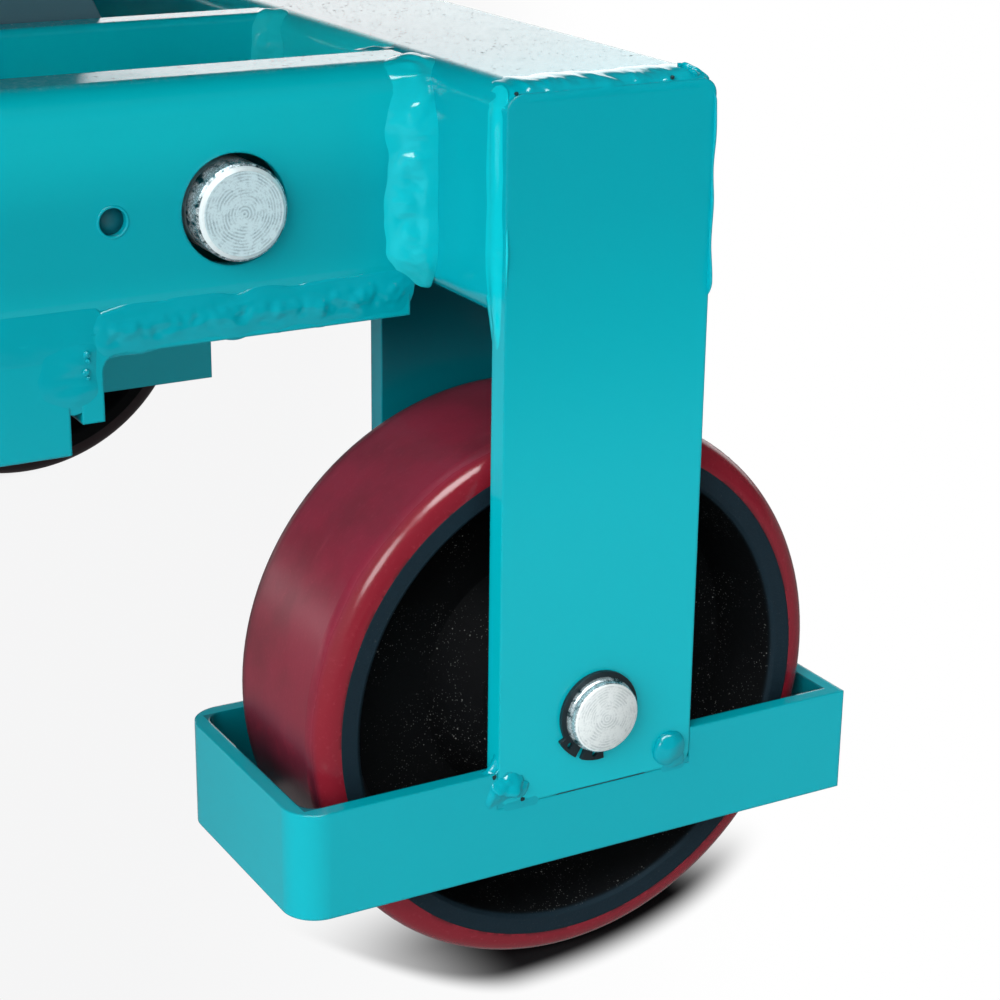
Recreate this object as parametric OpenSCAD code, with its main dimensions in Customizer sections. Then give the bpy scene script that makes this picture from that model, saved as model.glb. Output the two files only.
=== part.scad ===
// Mobile scissor lift table. X runs along the table towards the fixed wheels, Y across it,
// Z up from the ground. Lengths inside the modules start at the fixed wheels' axle, and
// in_frame() moves them so that the origin is the middle of the whole table on the ground.

/* [Base frame] */
// Width over the outer wheel plates
base_w = 514; // [500:1:560]
// Height of the frame's top face above the ground
frame_top = 238; // [232:1:250]
// Depth of the box section of beams and rails
section_h = 57; // [55:1:60]
// Width of the end beams along the table
beam_w = 58; // [50:1:66]
// Wall of the end beams
beam_wall = 4; // [3:0.5:6]
// Rounding of the beams' long edges
beam_r = 6; // [5:0.5:9]
// Gap between the lowered base rollers and the rear beam
roller_room = 4.8; // [3:0.1:12]
// Distance of the outer rails in from the outer wheel plates' faces
rail_in = 38; // [36:1:42]
// Width of the outer rails
rail_w = 28.5; // [26:0.5:32]
// Wall of the outer and lower rails
rail_wall = 3; // [2:0.5:4]
// Rounding of the outer rails' long edges
rail_r = 8; // [5:0.5:9]
// Distance of the inner rails in from the outer wheel plates' faces
inner_in = 129; // [127:1:133]
// Thickness of the inner rails
inner_t = 12; // [8:1:13]
// Height of the square tubes under the outer rails
lower_h = 29; // [26:1:30]
// Gap between the lower rail's end and the cross angle
lower_gap = 3; // [2:0.5:5]
// Length left free of lower rail at the castors
castor_bay = 150; // [145:1:180]
// Thickness of the cross angle's legs
angle_t = 5.5; // [4:0.5:8]
// Length of the cross angle's flat leg
angle_l = 86.5; // [70:0.5:90]
// Drop of the cross angle's upright leg
angle_drop = 21.5; // [15:0.5:30]
// Gap between the cross angle and the front beam
angle_gap = 5.5; // [3:0.5:10]

/* [Fixed wheels] */
// Diameter of the fixed wheels
wheel_d = 150; // [140:1:160]
// Width of the fixed wheels' tread
wheel_w = 50; // [44:0.5:52]
// Thickness of the wheels' tread
tread_t = 7; // [5:0.5:10]
// Rounding of the tread's shoulders
shoulder_r = 6.5; // [3:0.5:6.8]
// Width of the flat rim face beside the tread
rim_face = 5.5; // [4:0.5:8]
// Thickness of the wheel centre's web
web_t = 14; // [10:1:20]
// Radius of the hub
hub_r = 27; // [24.5:0.5:32]
// Width of the wheel plates along the table
plate_w = 58; // [50:1:70]
// Thickness of the wheel plates
plate_t = 6; // [5:0.5:8]
// Space between the two plates of one wheel
plate_gap = 59; // [57:0.5:62]
// Height of the plates' lower ends
plate_foot = 54; // [48:1:58]
// Step from the frame's top down to the outer plates' top edge
plate_step = 2; // [1:0.5:4]
// Rounding of the outer plates' corners
plate_r = 4; // [2:0.5:6]
// Diameter of the wheel axles
axle_d = 20; // [18:0.5:24]
// How far the axles stand out of the outer plates
axle_out = 3.2; // [2.5:0.1:5]

/* [Wheel guards] */
// Height of the guard bands' lower edge
guard_z = 35; // [30:1:40]
// Height of the guard bands
guard_h = 29; // [24:1:34]
// Thickness of the guard bands
guard_t = 4; // [3:0.5:5]
// Reach of the guards towards the middle of the table
guard_back = 85.3; // [84:0.1:95]
// Reach of the guards towards the end of the table
guard_front = 79.8; // [79:0.1:90]
// Outer bend radius of the guards' inboard corners
guard_r = 9; // [6:0.5:20]

/* [Scissor] */
// Distance from the fixed axle back to the base pivot
pivot_back = 81; // [72:1:95]
// Height of the base pivot
pivot_z = 207; // [206:0.5:209]
// Arm length between its pivot and its roller
arm_l = 780; // [770:1:790]
// Rise of the lowered arms from end to end
low_rise = 110; // [108:1:120]
// Thickness of the arms
arm_t = 12; // [10:0.5:12]
// Gap between the inner rail and the outer arm
arm_gap = 1.2; // [0.8:0.1:1.6]
// Gap between outer and inner arm
arm_space = 3; // [2.6:0.1:4]
// Radius of the outer arms' nose at the base pivot
nose_r = 24; // [22:0.5:25]
// Half depth of the arms at the centre pivot
waist_r = 38; // [30:1:40]
// Radius of the arms' ends at the rollers
tip_r = 22; // [18:0.5:26]
// Radius of the inner arms' upper ends
head_r = 30; // [24:0.5:32]
// Lean of the cut at the outer arms' heel, from square to the arm
heel_lean = 32; // [20:1:40]
// Distance of that cut from the base pivot
heel_off = 19; // [12:0.1:22]
// Height of the heel above the arm's pivot line
heel_h = 56; // [46:1:60]
// Diameter of the pivot pins
pin_d = 23.5; // [22:0.5:28]
// How far the base pivot pins stand out of the outer rails
pin_out = 5.5; // [3:0.1:6.5]
// Chamfer of the pivot pins
pin_chamfer = 1.6; // [0.5:0.1:2.5]
// Diameter of the track rollers
roller_d = 48; // [44:0.5:48]
// Diameter of the cross tubes between the arms
tube_d = 34; // [28:0.5:38]
// Distance of the lifting tube from the base roller along the inner arm
lift_along = 320; // [300:1:335]
// Height of the lifting tube above the inner arm's pivot line
lift_above = 25; // [15:0.5:28]

/* [Platform] */
// Reach of the platform behind its channels
deck_over = 36; // [20:1:60]
// Width of the platform
deck_w = 520; // [500:1:580]
// Depth of the platform's edge
deck_edge = 50; // [40:1:55]
// Thickness of the platform's sheet
deck_t = 4; // [3:0.5:5]
// Height of the sheet's underside above the platform pivot
deck_up = 36; // [34:0.5:45]
// Rounding of the platform's corners
deck_r = 12; // [6:0.5:30]
// Reach of the platform past the fixed axle
deck_front = 16; // [8:1:30]

/* [Castors] */
// Diameter of the castor wheels
castor_d = 125; // [115:1:128]
// Width of the castor wheels
castor_w = 45; // [36:0.5:48]
// Distance of the castors' swivel axes in from the outer plates' faces
castor_in = 78; // [74:1:90]
// Trail from the swivel axis to the castor's axle
trail = 40; // [32:1:46]
// Thickness of the castor forks
fork_t = 5; // [4:0.5:6]
// Diameter of the castor axles
castor_axle_d = 12; // [10:0.5:16]

/* [Hydraulics] */
// Distance from the base pivot back to the cylinder's foot
foot_back = 245; // [235:1:255]
// Height of the cylinder's foot
foot_z = 166; // [163:0.5:168]
// Outer diameter of the cylinder
barrel_d = 62; // [50:1:66]
// Diameter of the piston rod
rod_d = 34; // [26:0.5:38]
// Play of the rod's head round the lifting tube
head_play = 1.6; // [1.5:0.1:2]
// Width of the pump block across the table
pump_w = 90; // [76:1:100]
// Height of the pump block
pump_h = 118; // [110:1:125]
// Length of the pump block along the table
pump_l = 78; // [70:1:90]
// Diameter of the pump's plunger
plunger_d = 18; // [14:0.5:20]
// Diameter of the oil tank
tank_d = 76; // [66:1:78]
// Length of the oil tank
tank_l = 165; // [120:1:200]
// Diameter of the pressure pipe
pipe_d = 8; // [6:0.5:10]
// Reach of the pump pedal behind the rear beam
pedal_reach = 222; // [200:1:240]

/* [Push handle] */
// Height of the push handle
handle_h = 1000; // [960:1:1020]
// Diameter of the handle's tube
handle_d = 32; // [28:0.5:34]
// Distance between the handle's uprights
handle_w = 400; // [350:1:420]

/* [Hidden] */
$fn = 96;

// Finishes
teal = "#0aa2b0";
arm_grey = "#44525a";
tread_red = "#7d2c38";
cast_black = "#16191c";
zinc = "#c4ccd0";
spring_black = "#2a2d30";

// Fits and clearances
run_fit = 0.05;
side_play = 0.6;
free_gap = 0.3;
flank_sink = 0.02;

// Levels and places along the table
frame_bottom = frame_top - section_h;
axle_z = wheel_d / 2;
inner_plate_in = plate_t + plate_gap;
pivot_x = -pivot_back;
low_angle = asin(low_rise / arm_l);
low_run = arm_l * cos(low_angle);
lift_angle = 46;
high_run = arm_l * cos(low_angle + lift_angle);
roller_r = roller_d / 2;
channel_over = 12;
rear_x = pivot_x - low_run - roller_r - roller_room - beam_w / 2;
rear_face = rear_x - beam_w / 2;
deck_l = deck_front - pivot_x + low_run + roller_r + channel_over + deck_over;
top_z = pivot_z + low_rise;
deck_z = top_z + deck_up;
outer_arm_in = inner_in + inner_t + arm_gap;
inner_arm_in = outer_arm_in + arm_t + arm_space;
pin_r = pin_d / 2;
roller_w = inner_arm_in - inner_in - inner_t - 2 * arm_gap;

// Extent of the whole table, which sets the origin
x_front = max(guard_front, deck_front);
pedal_bar_r = 13;
x_rear = rear_face - pedal_reach;
x_mid = (x_front + x_rear) / 2;

module in_frame() {
    translate([-x_mid, 0, 0]) children();
}

// The right side lies at negative y, and the left side is its mirror image
module left_side() {
    mirror([0, 1, 0]) children();
}

function in_y(depth) = depth - base_w / 2;

// Draws a profile of X and Z between two depths in from the right outer face
module across(from, to) {
    translate([0, in_y(to), 0]) rotate([90, 0, 0]) linear_extrude(to - from) children();
}

// The same, between two places of Y
module across_y(from, to) {
    translate([0, to, 0]) rotate([90, 0, 0]) linear_extrude(to - from) children();
}

// Draws a profile of Y and Z between two places along the table
module along(from, to) {
    translate([from, 0, 0]) rotate([90, 0, 90]) linear_extrude(to - from) children();
}

module round_rect(w, h, r) {
    square([w - 2 * r, h], center = true);
    square([w, h - 2 * r], center = true);
    for (sx = [-1, 1], sy = [-1, 1])
        translate([sx * (w / 2 - r), sy * (h / 2 - r)]) circle(r);
}

module box_section(w, h, r, wall) {
    difference() {
        round_rect(w, h, r);
        round_rect(w - 2 * wall, h - 2 * wall, r - wall);
    }
}

// The straight flanks between two discs, without the discs. They lie a hair inside the tangents,
// so that each flank crosses its discs instead of only touching them.
module flanks(a, ra, b, rb) {
    d = norm(b - a);
    u = (b - a) / d;
    v = [-u[1], u[0]];
    s = (ra - rb) / d;
    c = sqrt(1 - s * s);
    up = s * u + c * v;
    down = s * u - c * v;
    pa = ra - flank_sink;
    pb = rb - flank_sink;
    polygon([a + pa * up, b + pb * up, b + pb * down, a + pa * down]);
}

module disc(place, r) {
    translate(place) circle(r);
}

module link(a, ra, b, rb) {
    flanks(a, ra, b, rb);
    disc(a, ra);
    disc(b, rb);
}

// A round bar across the table with both rims chamfered
module chamfered_pin(r, from, to, chamfer) {
    translate([0, in_y(to), 0]) rotate([90, 0, 0]) {
        translate([0, 0, chamfer]) cylinder(r = r, h = to - from - 2 * chamfer);
        cylinder(r1 = r - chamfer, r2 = r, h = chamfer);
        translate([0, 0, to - from - chamfer]) cylinder(r1 = r, r2 = r - chamfer, h = chamfer);
    }
}

// Round bar or hole across the table between two depths
module bar(r, from, to) {
    translate([0, in_y(to), 0]) rotate([90, 0, 0]) cylinder(r = r, h = to - from);
}

// Base frame

module front_beam() {
    color(teal) in_frame()
        translate([0, 0, frame_bottom + section_h / 2])
            across(plate_t, base_w - plate_t) box_section(beam_w, section_h, beam_r, beam_wall);
}

socket_wall = 6;
socket_h = 76;
socket_z = frame_top - socket_h + 14;
handle_r = handle_d / 2;
handle_x = rear_face - handle_r - socket_wall + 1;
pad_t = 6;
pad_l = 108;
pad_w = 92;
castor_x = rear_x + 22;
bolt_r = 5;
bolt_dx = 40;
bolt_dy = 30;

module castor_bolt_places() {
    for (sx = [-1, 1], sy = [-1, 1])
        translate([castor_x + sx * bolt_dx, in_y(castor_in) + sy * bolt_dy, 0]) children();
}

module castor_pad() {
    difference() {
        translate([castor_x, in_y(castor_in), frame_bottom - pad_t])
            linear_extrude(pad_t) round_rect(pad_l, pad_w, 6);
        translate([0, 0, frame_bottom - pad_t - 1])
            castor_bolt_places() cylinder(r = bolt_r + 0.5, h = pad_t + 2);
    }
}

module handle_socket() {
    socket_r = handle_r + socket_wall;
    translate([handle_x, -handle_w / 2, socket_z])
        difference() {
            union() {
                cylinder(r = socket_r, h = socket_h);
                translate([0, -socket_r * 0.7, 0])
                    cube([rear_face - handle_x, socket_r * 1.4, frame_top - socket_z]);
            }
            translate([0, 0, -1]) cylinder(r = handle_r + run_fit, h = socket_h + 2);
            translate([0, 0, socket_h * 0.45]) rotate([0, -90, 0])
                cylinder(r = 4.2, h = socket_r + 1);
        }
}

module rear_beam() {
    color(teal) in_frame() {
        translate([rear_x, 0, frame_bottom + section_h / 2])
            across(rail_in, base_w - rail_in) box_section(beam_w, section_h, beam_r, beam_wall);
        for (depth = [rail_in - 4, base_w - rail_in])
            translate([rear_x, 0, frame_bottom + section_h / 2])
                across(depth, depth + 4) round_rect(beam_w, section_h, beam_r);
        castor_pad();
        left_side() castor_pad();
        handle_socket();
        left_side() handle_socket();
    }
}

vent_back = 111.5;
vent_r = 3.35;
vent_depth = 4;
vent_boss_r = 9;
pin_ring = 1.75;

module outer_rail() {
    color(teal) in_frame()
        difference() {
            union() {
                translate([0, in_y(rail_in + rail_w / 2), frame_bottom + section_h / 2])
                    along(rear_x + beam_w / 2, -beam_w / 2)
                        box_section(rail_w, section_h, rail_r, rail_wall);
                translate([-vent_back, 0, pivot_z])
                    bar(vent_boss_r, rail_in + rail_wall / 2, rail_in + vent_depth + rail_wall);
            }
            translate([pivot_x, 0, pivot_z])
                bar(pin_r + run_fit, rail_in + rail_wall + 1, rail_in + rail_w + 1);
            translate([pivot_x, 0, pivot_z]) bar(pin_r + pin_ring, rail_in - 1, rail_in + rail_wall + 1);
            translate([-vent_back, 0, pivot_z]) bar(vent_r, rail_in - 1, rail_in + vent_depth);
        }
}

module outer_rail_right() outer_rail();

module outer_rail_left() left_side() outer_rail();

ledge_t = 6;
ledge_end = 8;
ledge_front = pivot_x - high_run + roller_r + ledge_end;
ledge_guard_front = pivot_x - high_run - roller_r - ledge_end;
roller_floor = pivot_z - roller_r - free_gap;
roller_roof = pivot_z + roller_r + side_play;
ledge_to = inner_arm_in - arm_gap;

module inner_rail() {
    wall_to = inner_in + inner_t;
    color(teal) in_frame()
        difference() {
            union() {
                translate([0, in_y(inner_in + inner_t / 2), frame_bottom + section_h / 2])
                    along(rear_x + beam_w / 2, -beam_w / 2)
                        round_rect(inner_t, section_h, 2);
                translate([0, in_y(wall_to - 1), roller_floor - ledge_t])
                    along(rear_x + beam_w / 2, ledge_front)
                        square([ledge_to - wall_to + 1, ledge_t]);
                translate([0, in_y(wall_to - 1), roller_roof])
                    along(rear_x + beam_w / 2, ledge_guard_front)
                        square([ledge_to - wall_to + 1, ledge_t]);
            }
            translate([pivot_x, 0, pivot_z])
                bar(pin_r + run_fit, inner_in - 1, wall_to + 1);
        }
}

module inner_rail_right() inner_rail();

module inner_rail_left() left_side() inner_rail();

angle_x0 = -beam_w / 2 - angle_gap - angle_l;
angle_x1 = -beam_w / 2 - angle_gap;

module lower_rail() {
    translate([0, in_y(rail_in + rail_w / 2), frame_bottom - lower_h / 2])
        along(rear_x + castor_bay, angle_x0 - lower_gap)
            difference() {
                round_rect(rail_w, lower_h, 0.8);
                square([rail_w - 2 * rail_wall, lower_h - 2 * rail_wall], center = true);
            }
}

module lower_rails() {
    color(teal) in_frame() {
        lower_rail();
        left_side() lower_rail();
    }
}

module cross_angle() {
    root_r = 4;
    low = frame_bottom - angle_drop;
    under = frame_bottom - angle_t;
    inside = angle_x0 + angle_t;
    color(teal) in_frame()
        across(rail_in, base_w - rail_in)
            difference() {
                union() {
                    translate([angle_x0, under]) square([angle_l, angle_t]);
                    translate([angle_x0, low]) square([angle_t, angle_drop]);
                    translate([inside, under - root_r]) square(root_r);
                }
                translate([inside + root_r, under - root_r]) circle(root_r);
            }
}

foot_x = pivot_x - foot_back;
foot_pin_r = 10;
foot_eye_w = 38;
lug_t = 8;
lug_r = 19;
cross_x = foot_x + 43;

module cylinder_lug() {
    difference() {
        across_y(foot_eye_w / 2 + side_play, foot_eye_w / 2 + side_play + lug_t)
            link([foot_x, foot_z], lug_r, [cross_x, frame_bottom - lower_h / 2], lower_h / 2);
        translate([foot_x, 0, foot_z]) rotate([90, 0, 0])
            cylinder(r = foot_pin_r + run_fit, h = base_w / 2, center = true);
    }
}

web_half = 40;

module cylinder_cross_member() {
    color(teal) in_frame() {
        difference() {
            translate([cross_x, 0, frame_bottom - lower_h / 2])
                across(rail_in + rail_w, base_w - rail_in - rail_w) round_rect(lower_h, lower_h, 3.5);
            translate([cross_x, 0, frame_bottom - lower_h / 2])
                across(rail_in + rail_w - 1, base_w / 2 - web_half)
                    round_rect(lower_h - 2 * rail_wall, lower_h - 2 * rail_wall, 1);
            translate([cross_x, 0, frame_bottom - lower_h / 2])
                across(base_w / 2 + web_half, base_w - rail_in - rail_w + 1)
                    round_rect(lower_h - 2 * rail_wall, lower_h - 2 * rail_wall, 1);
        }
        cylinder_lug();
        left_side() cylinder_lug();
    }
}

// Fixed wheels and their guards

axle_r = axle_d / 2;

module wheel_plate_outline(top, r) {
    translate([0, (plate_foot + top) / 2]) round_rect(plate_w, top - plate_foot, r);
}

module outer_wheel_plate() {
    color(teal) in_frame()
        difference() {
            across(0, plate_t) wheel_plate_outline(frame_top - plate_step, plate_r);
            translate([0, 0, axle_z]) bar(axle_r + run_fit, -1, plate_t + 1);
        }
}

module outer_wheel_plate_right() outer_wheel_plate();

module outer_wheel_plate_left() left_side() outer_wheel_plate();

module inner_wheel_plate() {
    difference() {
        across(inner_plate_in, inner_plate_in + plate_t)
            translate([-plate_w / 2, plate_foot]) square([plate_w, frame_bottom - plate_foot]);
        translate([0, 0, axle_z])
            bar(axle_r + run_fit, inner_plate_in - 1, inner_plate_in + plate_t + 1);
    }
}

module inner_wheel_plates() {
    color(teal) in_frame() {
        inner_wheel_plate();
        left_side() inner_wheel_plate();
    }
}

guard_w = inner_plate_in + plate_t;

// Seen from above: bent corners inboard, mitred corners at the table's end
module guard_outline(grow, r) {
    x0 = -guard_back + grow;
    x1 = guard_front - grow;
    w = guard_w - 2 * grow;
    translate([x0 + r, grow]) square([x1 - x0 - r, w]);
    translate([x0, grow + r]) square([r * 2, w - 2 * r]);
    for (y = [grow + r, grow + w - r]) translate([x0 + r, y]) circle(r);
}

module wheel_guard() {
    slack = 0.2;
    color(teal) in_frame()
        difference() {
            translate([0, in_y(0), guard_z]) linear_extrude(guard_h)
                difference() {
                    guard_outline(0, guard_r);
                    guard_outline(guard_t, guard_r - guard_t);
                }
            translate([-plate_w / 2 - slack, in_y(-1), plate_foot - slack / 2])
                cube([plate_w + 2 * slack, guard_w + 2, guard_h]);
        }
}

module wheel_guard_right() wheel_guard();

module wheel_guard_left() left_side() wheel_guard();

clip_t = 1.2;
groove = 0.8;

module axle(r, from, to, grooves) {
    difference() {
        chamfered_pin(r, from, to, 0.8);
        for (depth = grooves)
            difference() {
                bar(r + 1, depth, depth + clip_t + 0.1);
                bar(r - groove, depth - 1, depth + clip_t + 1);
            }
    }
}

wheel_axle_grooves = [-clip_t - 0.1, guard_w];

module wheel_axle() {
    translate([0, 0, axle_z]) axle(axle_r, -axle_out, guard_w + axle_out, wheel_axle_grooves);
}

module wheel_axles() {
    color(zinc) in_frame() {
        wheel_axle();
        left_side() wheel_axle();
    }
}

pin_end = outer_arm_in + arm_t + arm_space + 4;
pin_groove = outer_arm_in + arm_t + 0.3;

module base_pivot_pin() {
    translate([pivot_x, 0, pivot_z])
        difference() {
            chamfered_pin(pin_r, rail_in - pin_out, pin_end, pin_chamfer);
            difference() {
                bar(pin_r + 1, pin_groove, pin_groove + clip_t + 0.1);
                bar(pin_r - groove, pin_groove - 1, pin_groove + clip_t + 1);
            }
        }
}

module base_pivot_pins() {
    color(zinc) in_frame() {
        base_pivot_pin();
        left_side() base_pivot_pin();
    }
}

// Retaining ring of a shaft of radius r, its lugs turned by the angle given
module circlip_outline(r, turn) {
    band = 1.14 * r;
    lug = 1.31 * r;
    hole = 1.135 * r;
    hole_at = 22;
    slot = 4.6;
    lug_to = 35;
    rotate(turn)
        difference() {
            union() {
                circle(band);
                intersection() {
                    circle(lug);
                    polygon([
                        [0, 0], [-2 * r * sin(lug_to), -2 * r * cos(lug_to)],
                        [2 * r * sin(lug_to), -2 * r * cos(lug_to)]
                    ]);
                }
            }
            circle(r - groove + 0.03);
            polygon([
                [0, 0], [-2 * r * sin(slot), -2 * r * cos(slot)],
                [2 * r * sin(slot), -2 * r * cos(slot)]
            ]);
            for (side = [-1, 1])
                translate([side * hole * sin(hole_at), -hole * cos(hole_at)]) circle(0.085 * r);
        }
}

module side_circlips() {
    translate([0, 0, axle_z])
        for (depth = wheel_axle_grooves)
            across(depth + 0.05, depth + 0.05 + clip_t) circlip_outline(axle_r, -28);
    translate([pivot_x, 0, pivot_z])
        across(pin_groove + 0.05, pin_groove + 0.05 + clip_t) circlip_outline(pin_r, 0);
}

module circlips() {
    color(spring_black) in_frame() {
        side_circlips();
        left_side() side_circlips();
    }
}

bearing_r = 21;
bearing_w = 12;
hub_w = plate_gap - 2 * side_play;

// Half profile of a cast wheel centre: rim, dished web and hub
module core_profile(rim_r, rim_w, face, web, hub, hub_len, seat_r, seat_w, bore_r) {
    inner_rim = rim_r - face;
    dish = inner_rim - 6;
    toe = hub + 8;
    difference() {
        union() {
            polygon([
                [0, -hub_len / 2], [hub, -hub_len / 2], [hub, -hub_len / 2 + 6], [toe, -web / 2],
                [dish, -web / 2], [inner_rim, -rim_w / 2 + 1], [inner_rim + 1, -rim_w / 2],
                [rim_r, -rim_w / 2], [rim_r, rim_w / 2], [inner_rim + 1, rim_w / 2],
                [inner_rim, rim_w / 2 - 1], [dish, web / 2], [toe, web / 2],
                [hub, hub_len / 2 - 6], [hub, hub_len / 2], [0, hub_len / 2]
            ]);
        }
        translate([-1, -hub_len]) square([bore_r + 1, 2 * hub_len]);
        for (side = [-1, 1])
            translate([-1, side * (hub_len / 2 - seat_w / 2) - seat_w / 2 - (side < 0 ? 1 : 0)])
                square([seat_r + 1, seat_w + 1]);
    }
}

module wheel_place() {
    translate([0, in_y(plate_t + plate_gap / 2), axle_z]) rotate([90, 0, 0]) children();
}

module wheel_core() {
    color(cast_black) in_frame()
        wheel_place() rotate_extrude()
            core_profile(wheel_d / 2 - tread_t, wheel_w, rim_face, web_t, hub_r, hub_w,
                bearing_r, bearing_w, axle_r + 3);
}

module wheel_core_right() wheel_core();

module wheel_core_left() left_side() wheel_core();

module tread_profile(r, w, t, shoulder) {
    translate([r - t, -w / 2]) square([t - shoulder, w]);
    translate([r - t, -w / 2 + shoulder]) square([t, w - 2 * shoulder]);
    for (side = [-1, 1])
        translate([r - shoulder, side * (w / 2 - shoulder)]) intersection() {
            circle(shoulder);
            translate([0, side > 0 ? 0 : -shoulder]) square(shoulder);
        }
}

module wheel_tread() {
    color(tread_red) in_frame()
        wheel_place() rotate_extrude()
            tread_profile(wheel_d / 2, wheel_w, tread_t, shoulder_r);
}

module wheel_tread_right() wheel_tread();

module wheel_tread_left() left_side() wheel_tread();

// Ball bearing with sunken shields between its rings
module bearing(r_in, r_out, w) {
    rotate_extrude()
        difference() {
            translate([r_in, -w / 2]) square([r_out - r_in, w]);
            for (side = [-1, 1])
                translate([r_in + 3, side > 0 ? w / 2 - 0.6 : -w / 2 - 1])
                    square([r_out - r_in - 6, 1.6]);
        }
}

module wheel_bearings() {
    color(zinc) in_frame()
        wheel_place()
            for (side = [-1, 1])
                translate([0, 0, side * (hub_w - bearing_w) / 2])
                    bearing(axle_r + run_fit, bearing_r, bearing_w);
}

module wheel_bearings_right() wheel_bearings();

module wheel_bearings_left() left_side() wheel_bearings();

// Castors

castor_plate_t = 6;
race_h = 11;
race_r = 36;
king_r = 6;
plate_top = frame_bottom - pad_t;
race_top = plate_top - castor_plate_t;
crown_top = race_top - race_h;
castor_z = castor_d / 2;

module castor_place() {
    translate([castor_x, in_y(castor_in), 0]) children();
}

module castor_head() {
    castor_place() {
        difference() {
            translate([0, 0, race_top]) linear_extrude(castor_plate_t) round_rect(pad_l - 6, pad_w - 10, 8);
            for (sx = [-1, 1], sy = [-1, 1])
                translate([sx * bolt_dx, sy * bolt_dy, race_top - 1])
                    cylinder(r = bolt_r + 0.5, h = castor_plate_t + 2);
        }
        translate([0, 0, crown_top + free_gap])
            cylinder(r1 = race_r - 5, r2 = race_r, h = race_h - free_gap);
        translate([0, 0, crown_top - fork_t - 6]) cylinder(r = king_r, h = race_h + fork_t + 6);
        translate([0, 0, crown_top - fork_t - 7]) cylinder(r = king_r + 5, h = 7 - free_gap, $fn = 6);
    }
}

module castor_heads() {
    color(zinc) in_frame() {
        castor_head();
        left_side() castor_head();
    }
}

fork_in = castor_w / 2 + 4;
castor_hub_w = 2 * fork_in - 1;
castor_axle_r = castor_axle_d / 2;
brake_x = 50;
brake_z = crown_top - fork_t - 14;
brake_pin_r = 4;

module fork_leg() {
    difference() {
        across_y(fork_in, fork_in + fork_t)
            union() {
                flanks([-trail, castor_z], 17, [-trail * 0.35, crown_top - 24], 24);
                flanks([-trail * 0.35, crown_top - 24], 24, [-brake_x - 4, brake_z + 2], 9);
                disc([-trail, castor_z], 17);
                disc([-brake_x - 4, brake_z + 2], 9);
                translate([-race_r, crown_top - 26]) square([race_r * 1.9, 26 - fork_t / 2]);
                translate([-trail * 0.35 - 23.5, crown_top - 30]) square([47, 20]);
            }
        translate([-trail, 0, castor_z]) rotate([90, 0, 0])
            cylinder(r = castor_axle_r + run_fit, h = 4 * fork_in, center = true);
        translate([-brake_x - 4, 0, brake_z]) rotate([90, 0, 0])
            cylinder(r = brake_pin_r + run_fit, h = 4 * fork_in, center = true);
        translate([-2 * base_w / 2, 0, crown_top]) cube([base_w * 2, base_w, 40]);
    }
}

module castor_fork() {
    color(zinc) in_frame() castor_place() {
        difference() {
            translate([0, 0, crown_top - fork_t]) linear_extrude(fork_t)
                union() {
                    circle(race_r + 2);
                    translate([-race_r, -fork_in - fork_t]) square([race_r * 1.9, 2 * (fork_in + fork_t)]);
                }
            translate([0, 0, crown_top - fork_t - 1]) cylinder(r = king_r + run_fit, h = fork_t + 2);
        }
        fork_leg();
        mirror([0, 1, 0]) fork_leg();
    }
}

module castor_fork_right() castor_fork();

module castor_fork_left() left_side() castor_fork();

module castor_axle() {
    out = fork_in + fork_t;
    color(zinc) in_frame() castor_place()
        translate([-trail, 0, castor_z]) rotate([90, 0, 0]) {
            cylinder(r = castor_axle_r, h = 2 * out + 14, center = true);
            translate([0, 0, out]) cylinder(r = 11, h = 1.5);
            translate([0, 0, out + 1.5]) cylinder(r = 10, h = 6, $fn = 6);
            translate([0, 0, -out - 1.5]) cylinder(r = 11, h = 1.5);
            translate([0, 0, -out - 8.5]) cylinder(r = 10, h = 7, $fn = 6);
        }
}

module castor_axle_right() castor_axle();

module castor_axle_left() left_side() castor_axle();

module castor_wheel_place() {
    castor_place() translate([-trail, 0, castor_z]) rotate([90, 0, 0]) children();
}

module castor_core() {
    color(cast_black) in_frame()
        castor_wheel_place() rotate_extrude()
            difference() {
                core_profile(castor_d / 2 - tread_t, castor_w, rim_face, web_t - 2, 20, castor_hub_w,
                    14, 8, castor_axle_r + run_fit);
            }
}

module castor_core_right() castor_core();

module castor_core_left() left_side() castor_core();

module castor_tread() {
    color(tread_red) in_frame()
        castor_wheel_place() rotate_extrude()
            tread_profile(castor_d / 2, castor_w, tread_t, shoulder_r - 1);
}

module castor_tread_right() castor_tread();

module castor_tread_left() left_side() castor_tread();

brake_w = 2 * fork_in - 2 * side_play;

module brake_pedal() {
    tread_w = brake_w + 16;
    color(spring_black) in_frame() castor_place() {
        translate([-brake_x - 4, 0, brake_z]) rotate([90, 0, 0])
            cylinder(r = brake_pin_r, h = 2 * (fork_in + fork_t) + 2, center = true);
        across_y(-brake_w / 2, brake_w / 2) link([-brake_x - 4, brake_z], 7, [-brake_x - 26, brake_z + 3], 5);
        across_y(-tread_w / 2, tread_w / 2)
            link([-brake_x - 24, brake_z + 4], 4, [-brake_x - 52, brake_z + 12], 4);
    }
}

module brake_pedal_right() brake_pedal();

module brake_pedal_left() left_side() brake_pedal();

bolt_head_h = 6.4;

module castor_bolt() {
    translate([0, 0, race_top - 11]) cylinder(r = bolt_r, h = castor_plate_t + pad_t + 15);
    translate([0, 0, race_top - bolt_head_h - 1.6]) cylinder(r = bolt_r * 1.78, h = bolt_head_h, $fn = 6);
    translate([0, 0, race_top - 1.6]) cylinder(r = bolt_r * 1.95, h = 1.6);
}

socket_bolt_z = socket_z + socket_h * 0.45;

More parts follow.
